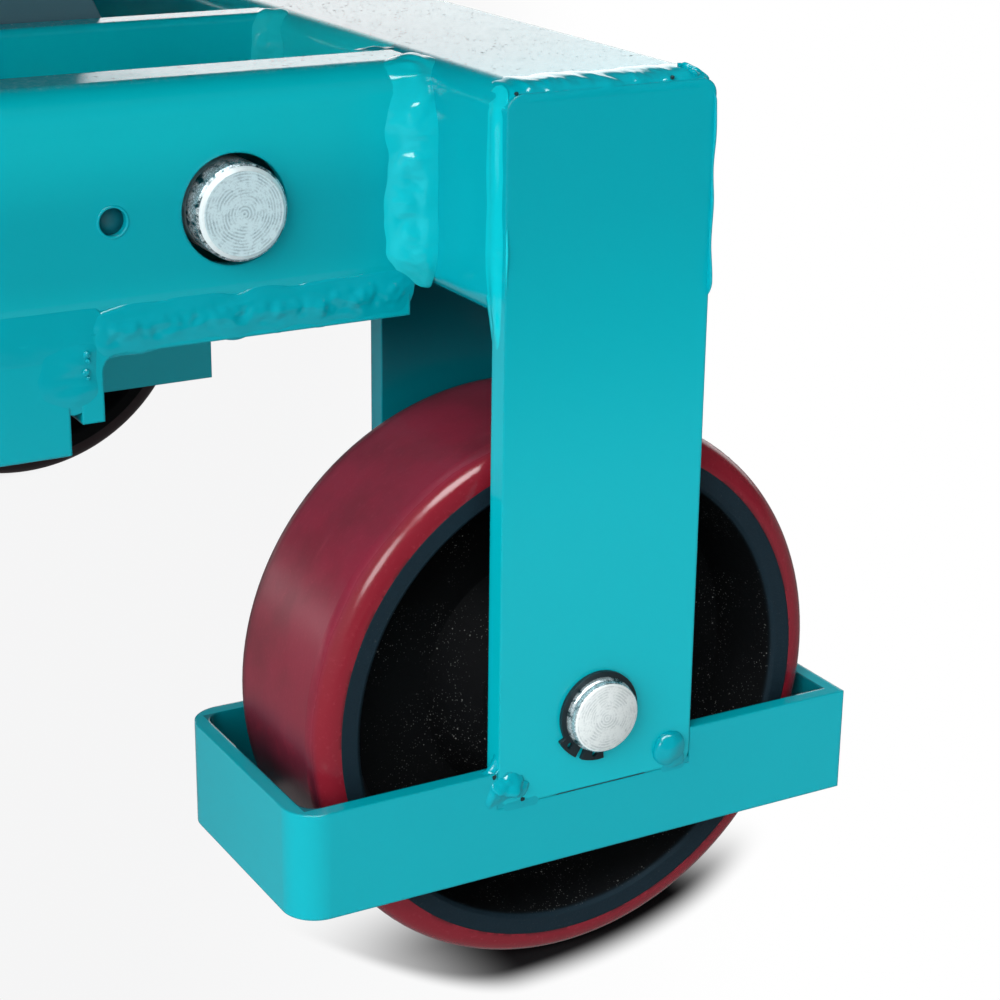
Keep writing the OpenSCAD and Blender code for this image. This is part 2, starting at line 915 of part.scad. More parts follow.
module side_fasteners() {
    difference() {
        castor_bolt_places() castor_bolt();
        translate([castor_x - pad_l, in_y(0) - 1, frame_bottom]) cube([2 * pad_l, base_w, 30]);
    }
    translate([handle_x - handle_r - socket_wall - 5.5, -handle_w / 2, socket_bolt_z])
        rotate([0, 90, 0]) {
            cylinder(r = 7.5, h = 5.5, $fn = 6);
            cylinder(r = 4, h = 5.5 + socket_wall - free_gap);
        }
}

module frame_fasteners() {
    color(zinc) in_frame() {
        side_fasteners();
        left_side() side_fasteners();
        for (side = [-1, 1])
            translate([pump_x0 - 5.5, side * pump_bolt_y, pump_bolt_z]) rotate([0, 90, 0]) {
                cylinder(r = 8, h = 5.5, $fn = 6);
                cylinder(r = 4.5, h = 10);
            }
        translate([foot_x, 0, foot_z]) rotate([90, 0, 0])
            cylinder(r = foot_pin_r, h = foot_eye_w + 2 * (lug_t + side_play) + 12, center = true);
        translate([pedal_x, 0, pedal_z]) rotate([90, 0, 0]) {
            cylinder(r = pedal_pin_r, h = pump_ear_out * 2 + 8, center = true);
            for (side = [-1, 1])
                translate([0, 0, side * (pump_ear_out + 2.5)]) cylinder(r = 7, h = 3, center = true);
        }
    }
}

// Scissor arms, drawn with the pivot line level and then set to the lowered angle

module outer_arm_pose() {
    translate([pivot_x, pivot_z]) rotate(-low_angle) children();
}

module inner_arm_pose() {
    translate([pivot_x - low_run, pivot_z]) rotate(low_angle) children();
}

heel_r = 12;
heel_c = [(heel_off - heel_r - sin(heel_lean) * (heel_h - heel_r)) / cos(heel_lean), heel_h - heel_r];
heel_n = [cos(heel_lean), sin(heel_lean)];

module outer_arm_outline() {
    centre = [-arm_l / 2, 0];
    end = [-arm_l, 0];
    flanks([0, 0], nose_r, centre, waist_r);
    flanks(centre, waist_r, end, tip_r);
    flanks(heel_c, heel_r, centre, waist_r);
    polygon([
        heel_c + (heel_r - flank_sink) * heel_n, (heel_off - flank_sink) * heel_n, [0, 0],
        [-waist_r * 2, 0], heel_c
    ]);
    disc([0, 0], nose_r);
    disc(heel_c, heel_r);
    disc(centre, waist_r);
    disc(end, tip_r);
}

module outer_arm() {
    color(arm_grey) in_frame() {
        difference() {
            across(outer_arm_in, outer_arm_in + arm_t)
                outer_arm_pose()
                    difference() {
                        outer_arm_outline();
                        circle(pin_r + run_fit);
                        translate([-arm_l / 2, 0]) circle(pin_r + run_fit);
                    }
        }
        translate([0, in_y(outer_arm_in + 1), 0]) rotate([90, 0, 0])
            linear_extrude(outer_arm_in + 1 - platform_roller_in)
                outer_arm_pose() translate([-arm_l, 0]) circle(stub_r);
    }
}

stub_r = 12;
platform_roller_in = outer_arm_in - arm_gap - roller_w;

module outer_arm_right() outer_arm();

module outer_arm_left() left_side() outer_arm();

outer_tube_near = [-64, 20];
outer_tube_far = [-arm_l + 62, 0];

module outer_arm_tubes() {
    inside = outer_arm_in + arm_t;
    color(arm_grey) in_frame()
        across(inside, base_w - inside)
            outer_arm_pose()
                for (place = [outer_tube_near, outer_tube_far])
                    translate(place)
                        difference() {
                            circle(tube_d / 2 - 1);
                            circle(tube_d / 2 - 5);
                        }
}

centre_head_t = 5;

module centre_pin() {
    translate([pivot_x, 0, pivot_z])
        rotate([0, low_angle, 0]) translate([-arm_l / 2, 0, 0]) {
            chamfered_pin(pin_r, outer_arm_in - 3, inner_arm_in + arm_t + 5, 1);
            bar(pin_r + 4, outer_arm_in - centre_head_t, outer_arm_in - free_gap);
            bar(pin_r + 4, inner_arm_in + arm_t + free_gap, inner_arm_in + arm_t + 3.5);
        }
}

module centre_pins() {
    color(zinc) in_frame() {
        centre_pin();
        left_side() centre_pin();
    }
}

lift_place = [lift_along, lift_above];

module inner_arm_outline() {
    centre = [arm_l / 2, 0];
    lobe_r = tube_d / 2 + 8;
    flanks([0, 0], tip_r, centre, waist_r);
    flanks(centre, waist_r, [arm_l, 0], head_r);
    flanks(lift_place, lobe_r, [lift_along - 90, 0], tip_r);
    flanks(lift_place, lobe_r, centre, waist_r);
    disc([0, 0], tip_r);
    disc(lift_place, lobe_r);
    disc(centre, waist_r);
    disc([arm_l, 0], head_r);
}

module inner_arm() {
    color(arm_grey) in_frame() {
        across(inner_arm_in, inner_arm_in + arm_t)
            inner_arm_pose()
                difference() {
                    inner_arm_outline();
                    translate([arm_l / 2, 0]) circle(pin_r + run_fit);
                    translate([arm_l, 0]) circle(pin_r + run_fit);
                }
        across(inner_in + inner_t + arm_gap, inner_arm_in + 1)
            inner_arm_pose() circle(stub_r);
    }
}

module inner_arm_right() inner_arm();

module inner_arm_left() left_side() inner_arm();

inner_tie = [110, 0];

module inner_arm_tubes() {
    inside = inner_arm_in + arm_t;
    color(arm_grey) in_frame()
        across(inside, base_w - inside)
            inner_arm_pose() {
                translate(lift_place)
                    difference() {
                        circle(tube_d / 2);
                        circle(tube_d / 2 - 6);
                    }
                translate(inner_tie)
                    difference() {
                        circle(tube_d / 2 - 3);
                        circle(tube_d / 2 - 7);
                    }
            }
}

// Ball-bearing track roller with a crowned rim and sunken faces
module roller(from) {
    w = roller_w;
    translate([0, in_y(from + w / 2), 0]) rotate([90, 0, 0])
        rotate_extrude()
            difference() {
                union() {
                    translate([stub_r + run_fit, -w / 2]) square([roller_r - stub_r - run_fit - 1.5, w]);
                    translate([stub_r + run_fit, -w / 2 + 1.5])
                        square([roller_r - stub_r - run_fit, w - 3]);
                    for (side = [-1, 1])
                        translate([roller_r - 1.5, side * (w / 2 - 1.5)]) circle(1.5);
                }
                for (side = [-1, 1])
                    translate([stub_r + 4, side > 0 ? w / 2 - 0.8 : -w / 2 - 1])
                        square([roller_r - stub_r - 9, 1.8]);
            }
}

module base_roller() {
    color(zinc) in_frame()
        translate([pivot_x - low_run, 0, pivot_z]) roller(inner_in + inner_t + arm_gap);
}

module base_roller_right() base_roller();

module base_roller_left() left_side() base_roller();

module platform_roller() {
    color(zinc) in_frame()
        translate([pivot_x - low_run, 0, top_z]) roller(platform_roller_in);
}

module platform_roller_right() platform_roller();

module platform_roller_left() left_side() platform_roller();

// Platform

deck_rear = deck_front - deck_l;

module deck_outline(shrink) {
    translate([(deck_front + deck_rear) / 2, 0])
        round_rect(deck_l - 2 * shrink, deck_w - 2 * shrink, deck_r - shrink);
}

rib_h = 9.5;
rib_t = 5;

module platform_deck() {
    color(teal) in_frame() {
        difference() {
            translate([0, 0, deck_z + deck_t - deck_edge]) linear_extrude(deck_edge) deck_outline(0);
            translate([0, 0, deck_z + deck_t - deck_edge - 1])
                linear_extrude(deck_edge - deck_t + 1) deck_outline(deck_t);
        }
        for (share = [1, 2, 3])
            translate([deck_rear + deck_l * share / 4, 0, deck_z - rib_h / 2])
                cube([rib_t, deck_w - 2 * deck_t + 1, rib_h], center = true);
    }
}

channel_t = 6;
channel_rear = pivot_x - low_run - roller_r - channel_over;
channel_front = ledge_front + 6;
channel_in = platform_roller_in - arm_gap;
channel_floor = top_z - roller_r - side_play;
channel_roof = top_z + roller_r + free_gap;
channel_l = channel_front - channel_rear;

module platform_channel() {
    flange = outer_arm_in - arm_gap / 2 - channel_in;
    translate([0, in_y(channel_in), 0]) {
        translate([channel_rear, -channel_t, channel_floor - channel_t])
            cube([channel_l, channel_t, deck_z - channel_floor + channel_t]);
        translate([channel_rear, -1, channel_floor - channel_t]) cube([channel_l, flange + 1, channel_t]);
        translate([channel_rear, -1, channel_roof]) cube([channel_l, flange + 1, channel_t]);
    }
}

module platform_channels() {
    color(teal) in_frame()
        difference() {
            union() {
                platform_channel();
                left_side() platform_channel();
            }
            for (share = [1, 2, 3])
                translate([deck_rear + deck_l * share / 4, 0, deck_z - rib_h / 2])
                    cube([rib_t + 2 * free_gap, deck_w, rib_h + 2 * free_gap], center = true);
        }
}

bracket_t = 8;
bracket_outer = inner_arm_in - arm_space + 1.2 - bracket_t;
bracket_inner = inner_arm_in + arm_t + 1;

module bracket_plate(from) {
    difference() {
        across(from, from + bracket_t)
            translate([pivot_x, 0])
                union() {
                    translate([0, top_z]) circle(pin_r + 11);
                    polygon([
                        [-pin_r - 11, top_z], [-pin_r - 22, deck_z], [pin_r + 22, deck_z],
                        [pin_r + 11, top_z]
                    ]);
                }
        translate([pivot_x, 0, top_z]) bar(pin_r + run_fit, from - 1, from + bracket_t + 1);
    }
}

module platform_brackets() {
    color(teal) in_frame() {
        bracket_plate(bracket_outer);
        bracket_plate(bracket_inner);
        left_side() {
            bracket_plate(bracket_outer);
            bracket_plate(bracket_inner);
        }
    }
}

module platform_pin() {
    translate([pivot_x, 0, top_z]) {
        chamfered_pin(pin_r, bracket_outer - 3, bracket_inner + bracket_t + 6, 1);
        bar(pin_r + 4, bracket_outer - 4.5, bracket_outer - free_gap);
        bar(pin_r + 4, bracket_inner + bracket_t + free_gap, bracket_inner + bracket_t + 4);
    }
}

module platform_pins() {
    color(zinc) in_frame() {
        platform_pin();
        left_side() platform_pin();
    }
}

// Lifting cylinder

lift_x = pivot_x - low_run + lift_along * cos(low_angle) - lift_above * sin(low_angle);
lift_z = pivot_z + lift_along * sin(low_angle) + lift_above * cos(low_angle);
reach = norm([lift_x - foot_x, lift_z - foot_z]);
slope = atan2(lift_z - foot_z, lift_x - foot_x);
barrel_from = 32;
barrel_to = reach - tube_d / 2 - 32;
barrel_r = barrel_d / 2;
rod_r = rod_d / 2;

// Draws along the cylinder's own line: Z runs from its foot to the lifting tube
module cylinder_line() {
    translate([foot_x, 0, foot_z]) rotate([0, 90 - slope, 0]) children();
}

module cylinder_barrel() {
    gland_h = 16;
    color(arm_grey) in_frame() cylinder_line()
        difference() {
            union() {
                rotate([90, 0, 0]) cylinder(r = lug_r - 1, h = foot_eye_w, center = true);
                intersection() {
                    translate([0, 0, barrel_from / 2 + 4])
                        cube([2 * lug_r - 6, foot_eye_w - 6, barrel_from + 8], center = true);
                    rotate([90, 0, 0]) cylinder(r = barrel_from + 4, h = foot_eye_w, center = true);
                }
                translate([0, 0, barrel_from]) cylinder(r = barrel_r, h = barrel_to - barrel_from);
                translate([0, 0, barrel_to - gland_h]) cylinder(r = barrel_r + 3, h = gland_h);
            }
            translate([0, 0, barrel_from + 12])
                cylinder(r = rod_r + 5, h = barrel_to - barrel_from - 12 - gland_h);
            cylinder_rod_hole(gland_h);
            rotate([90, 0, 0]) cylinder(r = foot_pin_r + run_fit, h = foot_eye_w + 2, center = true);
            for (turn = [0, 180])
                rotate(turn) translate([barrel_r + 4, 0, barrel_to - gland_h / 2]) rotate([0, 90, 0])
                    cylinder(r = 4, h = 6, center = true);
        }
}

module cylinder_rod_hole(gland_h) {
    translate([0, 0, barrel_to - gland_h - 1]) cylinder(r = rod_r + run_fit, h = gland_h + 2);
}

module piston_rod() {
    eye_r = tube_d / 2 + head_play;
    piston_h = 14;
    color(zinc) in_frame() cylinder_line()
        difference() {
            union() {
                translate([0, 0, barrel_from + 13]) cylinder(r = rod_r + 4.9, h = piston_h);
                translate([0, 0, barrel_from + 13]) cylinder(r = rod_r, h = reach - eye_r - barrel_from - 13);
                translate([0, 0, reach]) rotate([90, 0, 0]) cylinder(r = eye_r + 8, h = 44, center = true);
            }
            translate([0, 0, reach]) rotate([90, 0, 0]) cylinder(r = eye_r, h = 60, center = true);
        }
}

// Pump, oil tank and pedals behind the rear beam

pump_x1 = rear_face;
pump_x0 = rear_face - pump_l;
pump_top = frame_top - 4;
pump_z = pump_top - pump_h;
pump_bolt_y = pump_w / 2 - 12;
pump_bolt_z = frame_bottom + 18;
ear_t = 8;
pump_ear_out = 24;
pedal_pin_r = 6;
pedal_x = rear_face - 20;
plunger_x = pedal_x - 30;
cap_h = 8;
plunger_top = pump_top + 46;
pedal_z = plunger_top + 20;
spring_wire = 2.6;

module pump_ear() {
    difference() {
        across_y(pump_ear_out - ear_t, pump_ear_out)
            difference() {
                link([pedal_x, pedal_z], 13, [pedal_x, pump_top - 6], 18);
                translate([pedal_x, pedal_z]) circle(pedal_pin_r + run_fit);
            }
        translate([pedal_x - 30, -base_w / 2, pump_z]) cube([60, base_w, pump_h - 2]);
    }
}

module pump_block() {
    gland_r = plunger_d / 2 + 8;
    color(cast_black) in_frame()
        difference() {
            union() {
                translate([(pump_x0 + pump_x1) / 2, 0, pump_z])
                    linear_extrude(pump_h) round_rect(pump_l, pump_w, 8);
                pump_ear();
                mirror([0, 1, 0]) pump_ear();
                translate([plunger_x, 0, pump_top - 1]) cylinder(r = gland_r, h = 9);
                translate([pump_x0 + 24, pump_w / 2 - 1, pipe_z]) rotate([-90, 0, 0])
                    cylinder(r = 11, h = 9, $fn = 6);
                translate([release_x, -pump_w / 2 + 1, release_z]) rotate([90, 0, 0]) cylinder(r = 13, h = 7);
            }
            translate([plunger_x, 0, pump_z + 30]) cylinder(r = plunger_d / 2 + run_fit, h = pump_h);
            translate([release_x, -pump_w / 2 + 20, release_z]) rotate([90, 0, 0])
                cylinder(r = release_pin_r + run_fit, h = 40);
            translate([pump_x0 - 1, 0, pump_z + 24]) rotate([0, 90, 0]) cylinder(r = 7, h = 5);
            for (side = [-1, 1])
                translate([pump_x0 - 1, side * pump_bolt_y, pump_bolt_z]) rotate([0, 90, 0])
                    cylinder(r = 4.6, h = 20);
        }
}

tank_rim = 2.5;
tank_z = frame_bottom - tank_d / 2 - tank_rim - 1;

module oil_tank() {
    r = tank_d / 2;
    color(cast_black) in_frame()
        translate([pump_x1, 0, tank_z]) rotate([0, 90, 0]) rotate_extrude()
            union() {
                square([r, tank_l - 10]);
                translate([0, tank_l - 10]) square([r - 10, 10]);
                translate([r - 10, tank_l - 10]) intersection() {
                    circle(10);
                    square(10);
                }
                translate([0, 6]) square([r + tank_rim, 8]);
            }
}

pipe_z = foot_z;
pipe_r = pipe_d / 2;
pipe_out = 62;
pipe_bend = 16;
pipe_from_x = pump_x0 + 24;
pipe_from_y = pump_w / 2 + 8;
pipe_to_y = foot_eye_w / 2 + side_play + lug_t + 6;

// Steel pipe in a level plane: out of the pump, along the table and in to the cylinder's foot
module pressure_pipe() {
    color(zinc) in_frame() translate([0, 0, pipe_z]) {
        translate([pipe_from_x, pipe_from_y, 0]) rotate([-90, 0, 0])
            cylinder(r = pipe_r, h = pipe_out - pipe_bend - pipe_from_y + pipe_to_y);
        pipe_line_y = pipe_out + pipe_to_y;
        translate([pipe_from_x + pipe_bend, pipe_line_y - pipe_bend, 0]) rotate(90)
            rotate_extrude(angle = 90) translate([pipe_bend, 0]) circle(pipe_r);
        translate([pipe_from_x + pipe_bend, pipe_line_y, 0]) rotate([0, 90, 0])
            cylinder(r = pipe_r, h = foot_x - pipe_from_x - 2 * pipe_bend);
        translate([foot_x - pipe_bend, pipe_line_y - pipe_bend, 0])
            rotate_extrude(angle = 90) translate([pipe_bend, 0]) circle(pipe_r);
        translate([foot_x, pipe_line_y - pipe_bend, 0]) rotate([90, 0, 0])
            cylinder(r = pipe_r, h = pipe_out - pipe_bend);
    }
}

module pump_plunger() {
    color(zinc) in_frame() translate([plunger_x, 0, 0]) {
        translate([0, 0, pump_z + 50]) cylinder(r = plunger_d / 2, h = plunger_top - cap_h - pump_z - 50);
        translate([0, 0, plunger_top - cap_h]) cylinder(r = plunger_d / 2 + 6, h = cap_h);
    }
}

// Coil spring as one unbroken tube of six sides, eight rings to a turn
function ring_point(radius, wire, turn, height, side) =
    let (out = radius + wire * cos(60 * side))
    [out * cos(turn), out * sin(turn), height + wire * sin(60 * side)];

module coil(radius, wire, turns, height) {
    rings = turns * 8;
    points = [
        for (i = [0:rings], s = [0:5])
            ring_point(radius, wire, 45 * i, height * i / rings, s)
    ];
    walls = [
        for (i = [0:rings - 1], s = [0:5], half = [0, 1])
            let (a = 6 * i + s, b = 6 * i + (s + 1) % 6)
            half == 0 ? [a, b, b + 6] : [a, b + 6, a + 6]
    ];
    first = [for (s = [1:4]) [0, s + 1, s]];
    last = [for (s = [1:4]) [6 * rings, 6 * rings + s, 6 * rings + s + 1]];
    polyhedron(points = points, faces = concat(walls, first, last));
}

spring_turns = 5;
coil_sides = 6;
coil_per_turn = 8;
spring_from = pump_top + 9.5 + spring_wire / 2;
spring_to = plunger_top - cap_h - free_gap - spring_wire / 2 - 0.3;

// Least gap of the coil to itself, measured between the points of turns that lie over each other
coil_r = plunger_d / 2 + 3.4;
coil_h = spring_to - spring_from;
coil_points = [
    for (i = [0:spring_turns * coil_per_turn], s = [0:coil_sides - 1])
        ring_point(coil_r, spring_wire / 2, 45 * i, coil_h * i / (spring_turns * coil_per_turn), s)
];
coil_gap = min([
    for (a = [0:len(coil_points) - 1])
        let (from = a + coil_sides * (coil_per_turn - 2))
        if (from < len(coil_points))
            min([for (b = [from:len(coil_points) - 1]) norm(coil_points[a] - coil_points[b])])
]);
echo(coil_gap = coil_gap);

module plunger_spring() {
    color(spring_black) in_frame()
        translate([plunger_x, 0, spring_from])
            coil(coil_r, spring_wire / 2, spring_turns, coil_h);
}

pedal_tip_x = x_rear + pedal_bar_r;
pedal_rise = 22;
pedal_tip_z = pedal_z + pedal_rise;
pedal_arm_w = 10;
pedal_bar_w = 150;

module pump_pedal() {
    color(teal) in_frame() {
        difference() {
            union() {
                across_y(-pump_ear_out + ear_t + side_play, pump_ear_out - ear_t - side_play)
                    link([pedal_x, pedal_z], 11, [plunger_x - 22, pedal_z + 4], 9);
                across_y(-9, 9) link([plunger_x, plunger_top + 8.4], 8, [plunger_x, pedal_z], 8);
                across_y(-pedal_arm_w / 2, pedal_arm_w / 2)
                    link([plunger_x, pedal_z + 1], 8, [pedal_tip_x, pedal_tip_z], 10);
            }
            translate([pedal_x, 0, pedal_z]) rotate([90, 0, 0])
                cylinder(r = pedal_pin_r + run_fit, h = 80, center = true);
        }
        translate([pedal_tip_x, 0, pedal_tip_z]) rotate([90, 0, 0]) {
            cylinder(r = pedal_bar_r, h = pedal_bar_w, center = true);
            for (side = [-1, 1])
                translate([0, 0, side * pedal_bar_w / 2]) cylinder(r = pedal_bar_r - 3, h = 6, center = true);
        }
    }
}

release_in = 30;
release_up = 34;
release_l = 105;
release_rise = 22;
release_pad = 34;
release_x = pump_x0 + release_in;
release_z = pump_z + release_up;
release_pin_r = 6;

module release_pedal() {
    from = -pump_w / 2 - 6 - side_play - 8;
    color(tread_red) in_frame() {
        translate([release_x, -pump_w / 2 + 14, release_z]) rotate([90, 0, 0])
            cylinder(r = release_pin_r, h = 14 + 6 + side_play + 10);
        across_y(from, from + 8)
            link([release_x, release_z], 12, [release_x - release_l, release_z + release_rise], 8);
        across_y(from - release_pad, from + 1)
            link([release_x - release_l + 13, release_z + release_rise - 2], 8.5,
                [release_x - release_l - 7, release_z + release_rise + 2], 8.5);
    }
}

// Push handle: one bent tube standing in the sockets of the rear beam

handle_wall = 2.5;
corner_r = 75;
handle_z = socket_z + 2;
corner_z = handle_h - handle_r - corner_r;

module handle_upright(r, below) {
    translate([handle_x, -handle_w / 2, handle_z - below])
        cylinder(r = r, h = corner_z - handle_z + below);
    translate([handle_x, -handle_w / 2 + corner_r, corner_z]) rotate([90, 0, -90])
        rotate_extrude(angle = 90) translate([corner_r, 0]) circle(r);
}

module handle_bar(r, below) {
    handle_upright(r, below);
    left_side() handle_upright(r, below);
    translate([handle_x, 0, corner_z + corner_r]) rotate([90, 0, 0])
        cylinder(r = r, h = handle_w - 2 * corner_r, center = true);
}

module push_handle() {
    color(teal) in_frame()
        difference() {
            handle_bar(handle_r, 0);
            handle_bar(handle_r - handle_wall, 1);
        }
}

front_beam();
rear_beam();
outer_rail_right();
outer_rail_left();
inner_rail_right();
inner_rail_left();
lower_rails();
cross_angle();
cylinder_cross_member();
outer_wheel_plate_right();
outer_wheel_plate_left();
inner_wheel_plates();
wheel_guard_right();
wheel_guard_left();
wheel_axles();
base_pivot_pins();
circlips();
wheel_core_right();
wheel_core_left();
wheel_tread_right();
wheel_tread_left();
wheel_bearings_right();
wheel_bearings_left();
castor_heads();
frame_fasteners();
castor_fork_right();
castor_fork_left();
castor_axle_right();
castor_axle_left();
castor_core_right();
castor_core_left();
castor_tread_right();
castor_tread_left();
brake_pedal_right();
brake_pedal_left();
outer_arm_right();
outer_arm_left();
outer_arm_tubes();
centre_pins();
inner_arm_right();
inner_arm_left();
inner_arm_tubes();
base_roller_right();
base_roller_left();
platform_roller_right();
platform_roller_left();
platform_deck();
platform_channels();
platform_brackets();
platform_pins();
cylinder_barrel();
piston_rod();
pump_block();
oil_tank();
pressure_pipe();
pump_plunger();
plunger_spring();
pump_pedal();
release_pedal();
push_handle();
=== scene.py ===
"""Looks of a mobile lift table: its finishes, its welds and the studio round it.

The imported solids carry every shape. This script gives each of them a finish and adds what a
welder and a painter leave behind: seams, tacks, runs of paint and turned faces.
"""

import logging
import math
from dataclasses import dataclass
from enum import Enum
from functools import partial
from itertools import product
from typing import Callable, ClassVar, Optional, Sequence, Union

import bmesh
import bpy
from mathutils import Matrix, Vector, noise


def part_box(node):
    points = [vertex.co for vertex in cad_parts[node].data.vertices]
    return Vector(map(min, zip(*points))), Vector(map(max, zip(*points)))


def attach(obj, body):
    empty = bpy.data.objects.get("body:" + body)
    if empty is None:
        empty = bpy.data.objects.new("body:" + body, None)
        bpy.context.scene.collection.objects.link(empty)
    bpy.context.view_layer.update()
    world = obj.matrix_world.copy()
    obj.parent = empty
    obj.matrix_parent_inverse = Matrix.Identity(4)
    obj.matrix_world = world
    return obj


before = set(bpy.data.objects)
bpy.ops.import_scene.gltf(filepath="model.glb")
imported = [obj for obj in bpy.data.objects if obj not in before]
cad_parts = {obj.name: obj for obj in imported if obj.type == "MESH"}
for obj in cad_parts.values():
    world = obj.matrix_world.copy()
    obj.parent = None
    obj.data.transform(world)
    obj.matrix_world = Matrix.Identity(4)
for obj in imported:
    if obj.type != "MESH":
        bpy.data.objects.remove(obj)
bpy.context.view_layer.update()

LOG = logging.getLogger("lift_table")
MM = 0.001
UP = Vector((0, 0, 1))
BACK = Vector((-1, 0, 0))
Colour = tuple[float, float, float]


def srgb(red: float, green: float, blue: float) -> Colour:
    """Turns a colour of 0 to 255 per channel into linear light."""
    def linear(value: float) -> float:
        """Turns one channel into linear light."""
        share = value / 255
        return share / 12.92 if share <= 0.04045 else ((share + 0.055) / 1.055) ** 2.4
    return linear(red), linear(green), linear(blue)


class Side(Enum):
    """The two sides of the table, as the sign of Y."""

    RIGHT = -1
    LEFT = 1

    @property
    def word(self) -> str:
        """Returns the side's word in the names of pieces."""
        return self.name.lower()

    @property
    def outward(self) -> Vector:
        """Returns the direction away from the table's middle."""
        return Vector((0, self.value, 0))


# Shader maths

Number = Union[float, int, "Value"]


def operator(operation: str, swapped: bool = False) -> Callable[["Value", Number], "Value"]:
    """Returns a method that adds one Math node for two values, swapped where the other comes first."""
    def method(one: "Value", other: Number) -> "Value":
        """Adds the node."""
        return one.math(operation, *((other, one) if swapped else (one, other)))
    return method


class Value:
    """A shader socket that takes part in Python expressions."""

    def __init__(self, graph: "Graph", socket: bpy.types.NodeSocket) -> None:
        """Keeps the graph and the output socket."""
        self.graph = graph
        self.socket = socket

    def math(self, operation: str, *values: Number, clamp: bool = False) -> "Value":
        """Adds one Math node and returns its result."""
        made = self.graph.node("ShaderNodeMath", {"operation": operation, "use_clamp": clamp},
                               dict(enumerate(values)))
        return made["Value"]

    __add__ = __radd__ = operator("ADD")
    __mul__ = __rmul__ = operator("MULTIPLY")
    __sub__, __rsub__ = operator("SUBTRACT"), operator("SUBTRACT", swapped=True)
    __truediv__, __rtruediv__ = operator("DIVIDE"), operator("DIVIDE", swapped=True)
    __pow__ = operator("POWER")
    __gt__ = operator("GREATER_THAN")
    __lt__ = operator("LESS_THAN")

    def __abs__(self) -> "Value":
        """Returns the value without its sign."""
        return self.math("ABSOLUTE", self)

    def root(self) -> "Value":
        """Returns the square root."""
        return self.math("SQRT", self)

    def sine(self) -> "Value":
        """Returns the sine."""
        return self.math("SINE", self)

    def clamped(self) -> "Value":
        """Returns the value kept between 0 and 1."""
        return self.math("ADD", self, 0.0, clamp=True)

    def between(self, low: float, high: float) -> "Value":
        """Returns a smooth step from 0 at low to 1 at high."""
        made = self.graph.node("ShaderNodeMapRange", {"interpolation_type": "SMOOTHSTEP"},
                               {"Value": self, "From Min": low, "From Max": high})
        return made["Result"]


class Outputs:
    """The outputs of one shader node, by name."""

    def __init__(self, graph: "Graph", made: bpy.types.Node) -> None:
        """Keeps the graph and the node."""
        self.graph = graph
        self.made = made

    def __getitem__(self, name: Union[str, int]) -> Value:
        """Returns one output as a value."""
        return Value(self.graph, self.made.outputs[name])


